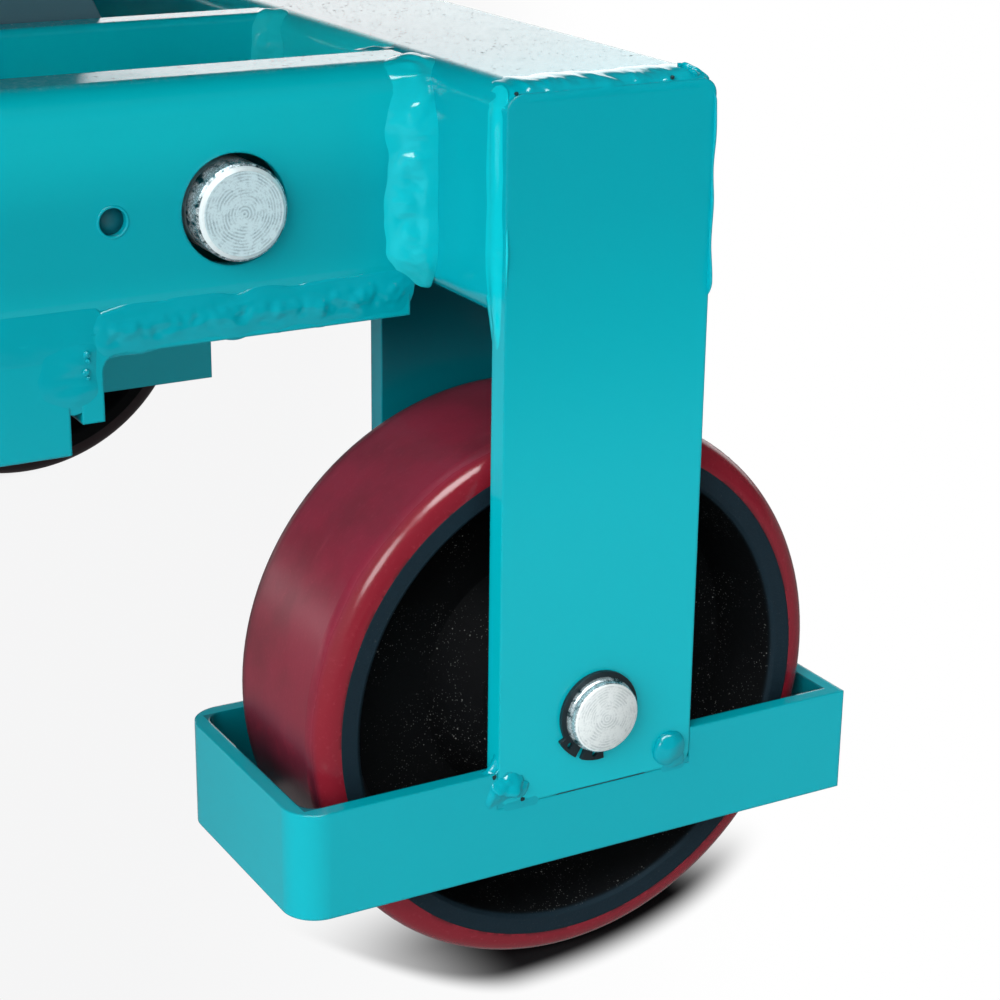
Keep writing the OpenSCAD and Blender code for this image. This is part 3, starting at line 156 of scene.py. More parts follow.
class Graph:
    """The node tree of one material or world."""

    def __init__(self, tree: bpy.types.NodeTree) -> None:
        """Starts with an empty tree."""
        self.tree = tree
        tree.nodes.clear()

    def node(self, kind: str, settings: Optional[dict] = None, values: Optional[dict] = None) -> Outputs:
        """Adds a node, sets it up and fills its inputs.

        Args:
            kind: The node's type.
            settings: Its properties, and "stops" for a ramp's colours.
            values: Its inputs by name or place, as numbers, colours or values.

        Returns:
            Its outputs.
        """
        made = self.tree.nodes.new(kind)
        for name, value in (settings or {}).items():
            if name == "stops":
                ramp = made.color_ramp.elements
                while len(ramp) < len(value):
                    ramp.new(0.5)
                for element, (place, colour) in zip(ramp, value):
                    element.position = place
                    element.color = (*colour, 1.0)
            else:
                setattr(made, name, value)
        for name, value in (values or {}).items():
            socket = made.inputs[name]
            if isinstance(value, Value):
                self.tree.links.new(value.socket, socket)
            elif isinstance(value, tuple) and len(value) == 3 and socket.type == "RGBA":
                socket.default_value = (*value, 1.0)
            else:
                socket.default_value = value
        return Outputs(self, made)

    def place(self) -> Value:
        """Returns the object coordinates, which are the table's own frame."""
        return self.node("ShaderNodeTexCoord")["Object"]

    def split(self, vector: Value) -> tuple[Value, Value, Value]:
        """Returns the three parts of a vector."""
        made = self.node("ShaderNodeSeparateXYZ", values={0: vector})
        return made["X"], made["Y"], made["Z"]

    def radius(self, x: float, z: float) -> Value:
        """Returns the distance from the line along Y that runs through x and z."""
        here, _, height = self.split(self.place())
        return ((here - x) ** 2.0 + (height - z) ** 2.0).root()

    def noise(self, scale: float, detail: float = 2.0, rough: float = 0.5,
              stretch: Colour = (1.0, 1.0, 1.0)) -> Value:
        """Returns a noise of 0 to 1, with scale cells per metre and a number of finer layers."""
        where = self.node("ShaderNodeMapping", values={"Vector": self.place(), "Scale": stretch})
        made = self.node("ShaderNodeTexNoise", values={
            "Vector": where["Vector"], "Scale": scale, "Detail": detail, "Roughness": rough})
        return made["Fac"]

    def specks(self, scale: float, size: float) -> Value:
        """Returns 1 in round spots, as large as the given share of their spacing, and 0 between them."""
        made = self.node("ShaderNodeTexVoronoi", {"feature": "F1"},
                         {"Vector": self.place(), "Scale": scale, "Randomness": 1.0})
        sizes = self.node("ShaderNodeSeparateColor", values={0: made["Color"]})
        return 1.0 - (made["Distance"] / (sizes["Red"] * size + 0.0001)).between(0.75, 1.0)

    def mix(self, share: Number, first: Union[Colour, Value], second: Union[Colour, Value]) -> Value:
        """Returns a blend of two colours, with share 0 for the first and 1 for the second."""
        made = self.node("ShaderNodeMix", {"data_type": "RGBA"}, {0: share, 6: first, 7: second})
        return made[2]

    def bumps(self, *layers: tuple[Value, float, float], edge: float = 0.0) -> Value:
        """Returns a normal with layers of height, strength and distance, on edges softened to a radius."""
        normal = None
        if edge > 0:
            normal = self.node("ShaderNodeBevel", {"samples": 4}, {"Radius": edge})["Normal"]
        for height, strength, distance in layers:
            values = {"Height": height, "Strength": strength, "Distance": distance}
            if normal is not None:
                values["Normal"] = normal
            normal = self.node("ShaderNodeBump", values=values)["Normal"]
        return normal

    def surface(self, **values: object) -> None:
        """Ends a material in one Principled shader, with underscores for the spaces in its inputs' names."""
        named = {name.replace("_", " "): value for name, value in values.items()}
        self.end("ShaderNodeOutputMaterial", self.node("ShaderNodeBsdfPrincipled", values=named)["BSDF"])

    def end(self, kind: str, shader: Value) -> None:
        """Ends the tree in its output node."""
        self.node(kind, values={"Surface": shader})

    def blend(self, share: Number, first: Value, second: Value) -> Value:
        """Returns a blend of two shaders, with share 0 for the first and 1 for the second."""
        return self.node("ShaderNodeMixShader", values={0: share, 1: first, 2: second})["Shader"]


def material(name: str) -> tuple[bpy.types.Material, Graph]:
    """Makes an empty material and returns it with its graph."""
    made = bpy.data.materials.new(name)
    made.use_nodes = True
    return made, Graph(made.node_tree)


# Finishes


@dataclass(frozen=True)
class Finish:
    """A procedural finish."""

    name: str

    def make(self) -> bpy.types.Material:
        """Returns the finished material."""
        made, graph = material(self.name)
        self.shade(graph)
        return made

    def shade(self, g: Graph) -> None:
        """Fills the material's graph."""
        raise NotImplementedError


@dataclass(frozen=True)
class PowderCoat(Finish):
    """Glossy powder coat with a slight orange peel and a little dust on top.

    Below low and above high, and only inside box where one is given, its colour turns to thick: a lighter
    colour as painted light or a darker one as painted shade.
    """

    colour: Colour
    deep: Colour
    rough: float = 0.13
    peel: float = 0.04
    dust: float = 1.0
    edge: float = 0.9
    thick: Optional[Colour] = None
    low: tuple[float, float] = (-1.0, -0.9)
    high: tuple[float, float] = (9.0, 9.1)
    box: Optional[tuple[float, float, float, float]] = None

    def shade(self, g: Graph) -> None:
        """Fills the material's graph."""
        clouds = g.noise(9.0, 3.0)
        grain = g.noise(900.0, 2.0)
        ups = g.split(g.node("ShaderNodeNewGeometry")["Normal"])[2].between(0.9, 0.99)
        colour = g.mix(clouds.between(0.3, 0.7) * 0.4 + grain * 0.06, self.colour, self.deep)
        # Painted light and shade: a lighter or darker colour by height and inside a box, standing in for how
        # light falls on the part.
        if self.thick:
            x, y, height = g.split(g.place())
            share = (1.0 - height.between(*self.low)) + height.between(*self.high)
            if self.box:
                start, end, inner, outer = self.box
                across = abs(y)
                share = share * (x > start) * (x < end) * (across > inner) * (across < outer)
            colour = g.mix(share, colour, self.thick)
        dirt = (g.specks(420.0, 0.21) + g.specks(760.0, 0.26)) * ups
        dirt = dirt * g.noise(45.0).between(0.4, 0.52) * self.dust
        colour = g.mix(dirt.clamped() * 0.95, colour, srgb(10, 42, 48))
        haze = g.noise(700.0, 4.0, 0.7).between(0.4, 0.75) * ups * self.dust
        colour = g.mix(haze * 0.1, colour, srgb(235, 240, 242))
        peel = (g.noise(130.0, 2.0), self.peel, 0.0005)
        normal = g.bumps(peel, (g.noise(620.0, 2.0), self.peel * 0.5, 0.0001), edge=self.edge * MM)
        rough = self.rough + clouds * 0.04 + haze * 0.1 + dirt * 0.4
        g.surface(Base_Color=colour, Roughness=rough, IOR=1.5, Normal=normal)


@dataclass(frozen=True)
class Polyurethane(Finish):
    """Cast polyurethane tread with mottling, scuffs and a smoother shoulder, darkened at its low rear by
    painted shade with grime and painted near-black on its inboard side as shade.
    """

    axle_x: float
    radius: float
    inboard: float
    clean: Colour = srgb(126, 27, 41)
    worn: Colour = srgb(128, 34, 53)
    light: Colour = srgb(192, 92, 108)
    dark: Colour = srgb(100, 30, 42)

    def shade(self, g: Graph) -> None:
        """Fills the material's graph."""
        x, y, z = g.split(g.place())
        radius = g.radius(self.axle_x, self.radius)
        tread = radius.between(self.radius - 0.0016, self.radius - 0.0002)
        mottle = g.noise(48.0, 3.0, 0.55)
        fine = g.noise(900.0, 3.0, 0.6)
        scuffs = g.noise(300.0, 3.0, 0.65, (0.2, 1.0, 0.2)).between(0.58, 0.8)
        colour = g.mix(tread, self.clean, self.worn)
        colour = g.mix(mottle.between(0.35, 0.7) * tread * 0.7, colour, self.dark)
        colour = g.mix(fine.between(0.55, 0.8) * 0.12, colour, self.light)
        colour = g.mix(scuffs * tread * 0.12, colour, self.light)
        inner = 1.0 - radius.between(self.radius - 0.0072, self.radius - 0.0058)
        colour = g.mix(inner * (g.noise(160.0, 3.0) > 0.5) * 0.6, colour, srgb(60, 22, 30))
        # Painted shade and grime: the tread's low rear, next to the guard, is darkened in blotches.
        low = 1.0 - z.between(0.062, 0.082)
        behind = 1.0 - (x + g.noise(70.0) * 0.02).between(self.axle_x - 0.062, self.axle_x - 0.05)
        guard_shade_and_grime = low * behind * tread
        colour = g.mix(guard_shade_and_grime * g.noise(120.0, 4.0, 0.7).between(0.25, 0.5) * 0.7, colour, srgb(34, 12, 24))
        # Painted shade: the tread's inboard side is painted near-black.
        inboard_shade = 1.0 - abs(y).between(self.inboard + 0.001, self.inboard + 0.009)
        colour = g.mix(inboard_shade * 0.93, colour, srgb(14, 14, 17))
        normal = g.bumps((fine, 0.08, 0.0002), (g.noise(90.0, 3.0), 0.1, 0.0008))
        rough = 0.15 + mottle * 0.08 + tread * 0.11 + scuffs * 0.1 + inboard_shade * 0.25
        g.surface(Base_Color=colour, Roughness=rough, IOR=1.46, Normal=normal)


@dataclass(frozen=True)
class CastWheel(Finish):
    """Black painted casting, grainy in the web and smoother on the rim's ring, left plain black on its
    inboard side as painted shade.
    """

    axle_x: float
    radius: float
    ring_from: float
    inboard: float
    ring: Colour = srgb(20, 38, 48)
    web: Colour = srgb(3, 5, 7)

    def shade(self, g: Graph) -> None:
        """Fills the material's graph."""
        y = g.split(g.place())[1]
        radius = g.radius(self.axle_x, self.radius)
        # Painted shade: near the inboard side the casting keeps the plain black web, without the ring's
        # colour, the sparks or the grain.
        clear_of_inboard_shade = abs(y).between(self.inboard + 0.004, self.inboard + 0.012)
        ring = radius.between(self.ring_from - 0.0004, self.ring_from + 0.0004)
        grains = g.noise(1500.0, 3.0, 0.7)
        colour = g.mix(ring * clear_of_inboard_shade, self.web, self.ring)
        cover = g.noise(60.0, 2.0).between(0.38, 0.62) * (1.0 - ring * 0.9) * clear_of_inboard_shade
        sparks = (g.specks(1500.0, 0.34) * 0.4 + g.specks(520.0, 0.16)) * cover
        colour = g.mix(sparks.clamped() * 0.7, colour, srgb(150, 152, 148))
        colour = g.mix(grains.between(0.55, 0.8) * 0.08 * clear_of_inboard_shade, colour, srgb(44, 52, 58))
        normal = g.bumps((grains, 0.35, 0.0003), (g.noise(420.0, 2.0), 0.2, 0.0006), edge=0.7 * MM)
        rough = 0.66 - ring * 0.1 + grains * 0.1
        g.surface(Base_Color=colour, Roughness=rough, Normal=normal, Specular_IOR_Level=0.14)


@dataclass(frozen=True)
class TurnedSteel(Finish):
    """Zinc plated steel whose faces show the rings of the lathe and whose side carries painted reflections in
    dark teal and pale grey patches.
    """

    axle_x: float
    axle_z: float
    face: float
    shown: float
    colour: Colour = srgb(226, 233, 233)
    stain: Colour = srgb(120, 140, 146)
    worn: float = 0.35
    rim: float = 0.0003

    def shade(self, g: Graph) -> None:
        """Fills the material's graph."""
        y = g.split(g.place())[1]
        radius = g.radius(self.axle_x, self.axle_z)
        wander = g.noise(150.0, 3.0)
        rings = ((radius * 8200.0) + wander * 11.0).sine() * 0.5 + 0.5
        broken = g.noise(330.0, 3.0, 0.6).between(0.4, 0.6)
        grit = g.noise(1700.0, 3.0, 0.7).between(0.5, 0.72)
        colour = g.mix(rings * broken * self.worn + grit * self.worn * 0.7, self.colour, self.stain)
        rim = radius.between(self.face - 0.0001, self.face + 0.0001)
        edge = self.face + self.rim
        side = radius.between(edge, edge + 0.0002) * (abs(y) > self.shown)
        colour = g.mix(rim * 0.7, colour, srgb(236, 243, 243))
        # Painted reflection: the side is coloured in patches of dark teal and pale grey that stand in for
        # what it reflects.
        patches = g.noise(420.0, 4.0, 0.65, (1.0, 0.5, 1.0)).between(0.38, 0.54)
        colour = g.mix(side, colour, g.mix(patches, srgb(12, 70, 78), srgb(200, 214, 218)))
        normal = g.bumps((rings * broken * (1.0 - rim), 0.35, 0.00012), (grit, 0.25, 0.0001), edge=0.3 * MM)
        rough = 0.3 + grit * 0.25 - side * 0.08
        g.surface(Base_Color=colour, Metallic=0.12 + side * 0.5, Roughness=rough, Normal=normal)


@dataclass(frozen=True)
class PlainMetal(Finish):
    """Plated, blackened or chromed steel, or a satin casting."""

    colour: Colour
    stain: Colour
    metallic: float
    rough: float
    grain: float = 500.0
    stretch: Colour = (1.0, 1.0, 1.0)
    bump: float = 0.15

    def shade(self, g: Graph) -> None:
        """Fills the material's graph."""
        patches = g.noise(45.0, 4.0, 0.6)
        grain = g.noise(self.grain, 3.0, 0.6, self.stretch)
        colour = g.mix(patches.between(0.4, 0.75) * 0.6 + grain * 0.2, self.colour, self.stain)
        normal = g.bumps((grain, self.bump, 0.0002), edge=0.4 * MM)
        rough = self.rough + grain * 0.12
        g.surface(Base_Color=colour, Metallic=self.metallic, Roughness=rough, Normal=normal)


class Paint(Enum):
    """The finishes that don't depend on a place."""

    FRAME = PowderCoat("powder_coat_blue_green", srgb(0, 164, 178), srgb(0, 156, 172))
    SEAM = PowderCoat("powder_coat_over_seams", srgb(0, 160, 175), srgb(0, 150, 166),
                      rough=0.09, peel=0.06, dust=0.0, edge=0.0)
    # Painted light: the inner rails get a lighter copy of the frame's coat, standing in for light they would
    # not otherwise catch.
    INNER_RAIL = PowderCoat("powder_coat_on_the_inner_rails", srgb(4, 220, 232), srgb(0, 210, 224))
    # Painted light: the welds at the rails' ends and the plate's edge get a lighter copy of the coat,
    # standing in for the light their slopes catch.
    WELD = PowderCoat("powder_coat_over_weld", srgb(10, 194, 206), srgb(0, 160, 176),
                      rough=0.08, peel=0.2, dust=0.0, edge=0.0)
    # Painted light: the inner rail's joint in the shaded bay gets an even lighter copy of the coat, standing
    # in for its highlight.
    BAY_WELD = PowderCoat("powder_coat_over_weld_in_the_bay", srgb(40, 238, 246), srgb(10, 220, 232),
                          rough=0.08, peel=0.2, dust=0.0, edge=0.0)
    # Painted light: the outer rails are painted lighter below 176 to 196 mm and above 206 to 228 mm, standing
    # in for light on their lower and upper faces.
    RAIL = PowderCoat("powder_coat_on_the_rails", srgb(0, 160, 174), srgb(0, 154, 168),
                      thick=srgb(2, 180, 192), low=(0.176, 0.196), high=(0.206, 0.228))
    # Painted light: the outer wheel plates are painted lighter below 130 to 225 mm, standing in for light
    # that grows towards their foot.
    PLATE = PowderCoat("powder_coat_on_the_plates", srgb(0, 160, 175), srgb(0, 154, 170),
                       thick=srgb(2, 178, 192), low=(0.13, 0.225))
    # Painted shade: the colour of the disc in the rail's hole stands in for the dim inside of the rail.
    HOLE = PlainMetal("thin_coat_in_the_hole", srgb(2, 104, 116), srgb(2, 84, 95), 0.0, 0.35)
    PIT = PlainMetal("bare_pit", srgb(2, 52, 58), srgb(2, 24, 28), 0.0, 0.5)
    ARM = PowderCoat("satin_blue_grey", srgb(98, 138, 150), srgb(88, 126, 138), rough=0.36, dust=0.0)
    ARM_WELD = PowderCoat("satin_blue_grey_weld", srgb(102, 140, 152), srgb(88, 126, 138),
                          rough=0.32, peel=0.12, dust=0.0, edge=0.0)
    RELEASE = PowderCoat("dark_red_paint", srgb(150, 26, 30), srgb(126, 20, 24), rough=0.22, dust=0.0)
    ZINC = PlainMetal("bright_zinc", srgb(212, 218, 220), srgb(158, 168, 172), 0.35, 0.32,
                      grain=420.0, stretch=(1.0, 0.2, 1.0))
    CHROME = PlainMetal("hard_chrome", srgb(166, 171, 175), srgb(152, 158, 163), 0.9, 0.13,
                        grain=700.0, stretch=(0.3, 1.0, 0.3), bump=0.02)
    SPRING = PlainMetal("blackened_spring_steel", srgb(34, 50, 56), srgb(22, 32, 38), 0.35, 0.38, grain=700.0)
    PUMP = PlainMetal("black_pump_casting", srgb(24, 27, 29), srgb(14, 16, 18), 0.1, 0.5,
                      grain=380.0, bump=0.35)


class Palette:
    """Makes each finish once and hands it out."""

    def __init__(self) -> None:
        """Starts with no finish made."""
        self.made: dict[str, bpy.types.Material] = {}

    def get(self, finish: Union[Paint, Finish]) -> bpy.types.Material:
        """Returns the material of a finish, made at the first call."""
        finish = finish.value if isinstance(finish, Paint) else finish
        if finish.name not in self.made:
            self.made[finish.name] = finish.make()
        return self.made[finish.name]

    def dress(self, finish: Union[Paint, Finish], *nodes: str) -> None:
        """Gives a finish to the named solids, where {} in a name stands for the right and the left one."""
        for name in dict.fromkeys(node.format(side.word) for node in nodes for side in Side):
            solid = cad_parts[name]
            if not solid.material_slots:
                solid.data.materials.append(None)
            for slot in solid.material_slots:
                slot.material = self.get(finish)


# Places and meshes


@dataclass(frozen=True)
class Datum:
    """Turns workshop sizes into the frame's metres.

    Lengths start at the fixed wheels' axle, depths at the outer wheel plates' faces and
    heights at the ground, all in millimetres.
    """

    axle_x: float
    half_width: float

    @staticmethod
    def from_frame() -> "Datum":
        """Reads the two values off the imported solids."""
        low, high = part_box("wheel_tread_right")
        return Datum((low.x + high.x) / 2, -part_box("outer_wheel_plate_right")[0].y)

    def at(self, length: float, depth: float, height: float, side: Side = Side.RIGHT) -> Vector:
        """Returns the point in the frame, with its depth counted from the given side."""
        across = self.half_width - depth * MM
        return Vector((self.axle_x + length * MM, side.value * across, height * MM))


@dataclass(frozen=True)
class Weld:
    """The section of a seam, in millimetres along its two faces from the line where they meet."""

    first: tuple[float, float]
    first_pull: tuple[float, float]
    second_pull: tuple[float, float]
    second: tuple[float, float]
    root: tuple[float, float]
    crown: float = 0.5
    lump: float = 0.4
    along: float = 7.0
    across: float = 2.0
    stray: float = 0.12
    taper: float = 5.0
    step: float = 0.8
    sides: int = 32

    @staticmethod
    def flat(half: float, crown: float, **more: float) -> "Weld":
        """Returns the section of a low bead on a flat face, from half its width and its height."""
        return Weld((half, 0.0), (half / 3, 0.0), (-half / 3, 0.0), (-half, 0.0), (0.0, -0.9), crown, **more)

    @staticmethod
    def under(end: Vector, pull: Vector, root: Vector) -> tuple[Vector, Vector]:
        """Returns two points below the metal, by which the open face runs into it at one end."""
        slope = (end - pull).normalized()
        inward = Vector((slope.y, -slope.x))
        if inward.dot(root - end) < 0:
            inward = -inward
        near = end + slope * 0.8 + inward * 0.07
        return near, near + slope * 0.2 + inward * 0.4

    def corners(self) -> tuple[tuple[float, float], ...]:
        """Returns the four points of the open face's curve, and the root."""
        return self.first, self.first_pull, self.second_pull, self.second, self.root

    def section(self, turn: float, run: float, seed: float, late: Optional["Weld"], share: float) -> Vector:
        """Returns one point of the section's outline.

        Args:
            turn: From 0 to 1 over the seam's open face, and from 0 to -1 through the metal.
            run: The place along the seam.
            seed: Shifts its lumps.
            late: The section that this one turns into.
            share: How far it has turned into it.

        Returns:
            The point.
        """
        probes = [Vector((run / self.along * 0.8, seed, side)) for side in (1.3, 9.7)]
        legs = [1 + self.stray * noise.noise(probe) * 2 for probe in probes]
        both = zip(self.corners(), (late or self).corners())
        corners = [Vector(one).lerp(Vector(two), share) for one, two in both]
        ends = [corner * legs[place // 2] for place, corner in enumerate(corners[:4])]
        root = corners[4]
        one, two = self.under(ends[0], ends[1], root), self.under(ends[3], ends[2], root)
        if turn < 0:
            return one[1].lerp(root, -2 * turn) if turn > -0.5 else root.lerp(two[1], -2 * turn - 1)
        hidden = 4 / self.sides
        shown = (turn - hidden) / (1 - 2 * hidden)
        if not -1e-6 < shown < 1 + 1e-6:
            end, steps = (ends[0], one) if shown < 0 else (ends[3], two)
            deep = (-shown if shown < 0 else shown - 1) * (1 - 2 * hidden) / hidden
            return end.lerp(steps[0], 2 * deep) if deep <= 0.5 else steps[0].lerp(steps[1], 2 * deep - 1)
        rest = 1 - shown
        spot = (ends[0] * rest ** 3 + ends[1] * (3 * rest * rest * shown)
                + ends[2] * (3 * rest * shown * shown) + ends[3] * shown ** 3)
        wave = noise.noise(Vector((run / self.along, shown * self.across, seed)))
        ripple = noise.noise(Vector((run / self.along * 2.6, shown * self.across * 2.1, seed + 4)))
        rise = self.crown * (1 + 0.5 * wave) + self.lump * (wave + 0.6 * ripple)
        return spot + (spot - root).normalized() * (rise * max(math.sin(math.pi * shown), 0.0) ** 1.8)


class Shape:
    """One piece under construction: a bmesh that grows by operators."""

    def __init__(self, seed: float = 0.0) -> None:
        """Starts empty, with a shift for the lumps of all its welds."""
        self.mesh = bmesh.new()
        self.seed = seed

    def seam(self, path: Sequence[Vector], one: Vector, two: Union[Vector, Sequence[Vector]],
             weld: Weld, seed: float = 0.0, late: Optional[Weld] = None,
             turning: tuple[float, float] = (0.0, 1.0)) -> None:
        """Lays a seam whose edges run out smoothly into the two faces that it joins.

        Args:
            path: The points along the line in which the faces meet.
            one: The direction of the first face, away from that line.
            two: The direction of the second face, for the whole path or for each of its points.
            weld: The seam's section and its unevenness.
            seed: Shifts its lumps.
            late: The section that it turns into.
            turning: The millimetres along the seam between which it does.
        """
        across = list(two) if isinstance(two, (list, tuple)) else [two] * len(path)
        lengths = [0.0]
        for here, there in zip(path, path[1:]):
            lengths.append(lengths[-1] + (there - here).length)
        total = lengths[-1]
        flat = weld.root[0] == 0
        bar = bmesh.new()
        bmesh.ops.create_cone(bar, cap_ends=True, segments=weld.sides, radius1=1.0, radius2=1.0, depth=1.0)
        long_edges = [e for e in bar.edges if abs(e.verts[0].co.z - e.verts[1].co.z) > 0.5]
        bmesh.ops.subdivide_edges(bar, edges=long_edges, cuts=max(8, int(total / (weld.step * MM))))
        for vert in bar.verts:
            run = (vert.co.z + 0.5) * total
            leg = max(i for i, length in enumerate(lengths[:-1]) if length <= run + 1e-9)
            part = (run - lengths[leg]) / max(lengths[leg + 1] - lengths[leg], 1e-9)
            side = across[leg].lerp(across[leg + 1], part).normalized()
            inside = min(min(run, total - run) / MM / weld.taper, 1.0)
            rounded = math.sqrt(max(1 - (1 - inside) ** 2, 0.0)) * 0.96 + 0.04
            eased = inside * inside * (3 - 2 * inside) * 0.98 + 0.02
            turned = min(max((run / MM - turning[0]) / (turning[1] - turning[0]), 0.0), 1.0)
            spot = weld.section(math.atan2(vert.co.y, vert.co.x) / math.pi, run / MM, self.seed + seed,
                                late, turned * turned * (3 - 2 * turned))
            middle = (rounded + eased) / 2
            spot = Vector((spot.x * (rounded if flat else middle), spot.y * (eased if flat else middle)))
            spot += Vector(weld.root).normalized() * 0.2 * (1 - eased)
            vert.co = path[leg].lerp(path[leg + 1], part) + (one * spot.x + side * spot.y) * MM
        self._take(bar)

    def blob(self, middle: Vector, out: Vector, radius: float, height: float, lump: float = 0.25,
             seed: float = 0.0) -> None:
        """Sets a tack weld, a half sunk lump, with its radius and height in millimetres."""
        ball = bmesh.new()
        bmesh.ops.create_icosphere(ball, subdivisions=4, radius=1.0)
        turn = out.to_track_quat("Z", "Y").to_matrix()
        shift = self.seed + seed
        for vert in ball.verts:
            swell = 1 + lump * noise.noise(vert.co * 1.7 + Vector((shift, 1.0, shift * 2)))
            shaped = Vector((vert.co.x * radius, vert.co.y * radius, vert.co.z * height)) * swell * MM
            vert.co = middle + turn @ shaped
        self._take(ball)

    def ring_bead(self, middle: Vector, axis: Vector, radius: float, width: float, lump: float,
                  seed: float, count: int = 96) -> None:
        """Lays a bead round a tube of the given radius, with width for the bead's own, in millimetres."""
        ring = bmesh.new()
        upright = Matrix.Translation((radius * MM, 0, 0)) @ Matrix.Rotation(math.pi / 2, 4, "X")
        bmesh.ops.create_circle(ring, segments=10, radius=width * MM, matrix=upright)
        bmesh.ops.spin(ring, geom=ring.verts[:] + ring.edges[:], cent=(0, 0, 0), axis=(0, 0, 1),
                       angle=math.tau, steps=count, use_merge=True, use_duplicate=False)
        turn = axis.to_track_quat("Z", "Y").to_matrix()
        for vert in ring.verts:
            probe = (middle + turn @ vert.co) / MM
            shifted = probe * 0.3 + Vector((self.seed + seed, 0, 0))
            waves = noise.noise(shifted) + 0.4 * noise.noise(probe * 0.9)
            swell = 1 + lump * waves
            around = Vector((vert.co.x, vert.co.y, 0)).normalized() * radius * MM
            vert.co = middle + turn @ (around + (vert.co - around) * swell)
        self._take(ring)

    def turned(self, profile: Sequence[tuple[float, float]], middle: Vector, axis: Vector,
               steps: int) -> None:
        """Spins a closed profile of radius and height in millimetres round an axis through middle."""
        part = bmesh.new()
        verts = [part.verts.new((r * MM, 0, h * MM)) for r, h in profile]
        for here, there in zip(verts, verts[1:] + verts[:1]):
            part.edges.new((here, there))
        bmesh.ops.spin(part, geom=part.verts[:] + part.edges[:], cent=(0, 0, 0), axis=(0, 0, 1),
                       angle=math.tau, steps=steps, use_merge=True, use_duplicate=False)
        bmesh.ops.remove_doubles(part, verts=part.verts, dist=1e-7)
        turn = axis.to_track_quat("Z", "Y").to_matrix().to_4x4()
        bmesh.ops.transform(part, matrix=Matrix.Translation(middle) @ turn, verts=part.verts)
        self._take(part)

    def _take(self, part: bmesh.types.BMesh) -> None:
        """Adds a finished part with its faces pointing outwards, and frees it."""
        bmesh.ops.recalc_face_normals(part, faces=part.faces)
        for face in part.faces:
            face.smooth = True
        scrap = bpy.data.meshes.new("part")
        part.to_mesh(scrap)
        part.free()
        self.mesh.from_mesh(scrap)
        bpy.data.meshes.remove(scrap)

    def finish(self, name: str, body: str, slot: str, look: bpy.types.Material) -> None:
        """Turns the shape into a piece that rides on a body, with its own look."""
        data = bpy.data.meshes.new(name)
        self.mesh.to_mesh(data)
        self.mesh.free()
        data.materials.append(look)
        piece = bpy.data.objects.new(name, data)
        bpy.context.scene.collection.objects.link(piece)
        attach(piece, body)
        LOG.info("%s: %d faces", name, len(data.polygons))


# Sub-assemblies


@dataclass
class Assembly:
    """What each sub-assembly works with, and the plain finishes of its solids."""

    datum: Datum
    palette: Palette
    finishes: ClassVar[dict[Paint, tuple[str, ...]]] = {}

    def build(self) -> None:
        """Gives the solids their plain finishes."""
        for paint, nodes in self.finishes.items():
            self.palette.dress(paint, *nodes)

    def finish(self, shape: Shape, name: str, paint: Union[Paint, Finish], body: str = "frame",
               slot: str = "frame_paint") -> None:
        """Turns a shape into a piece, by default a painted one on the frame."""
        shape.finish(name, body, slot, self.palette.get(paint))


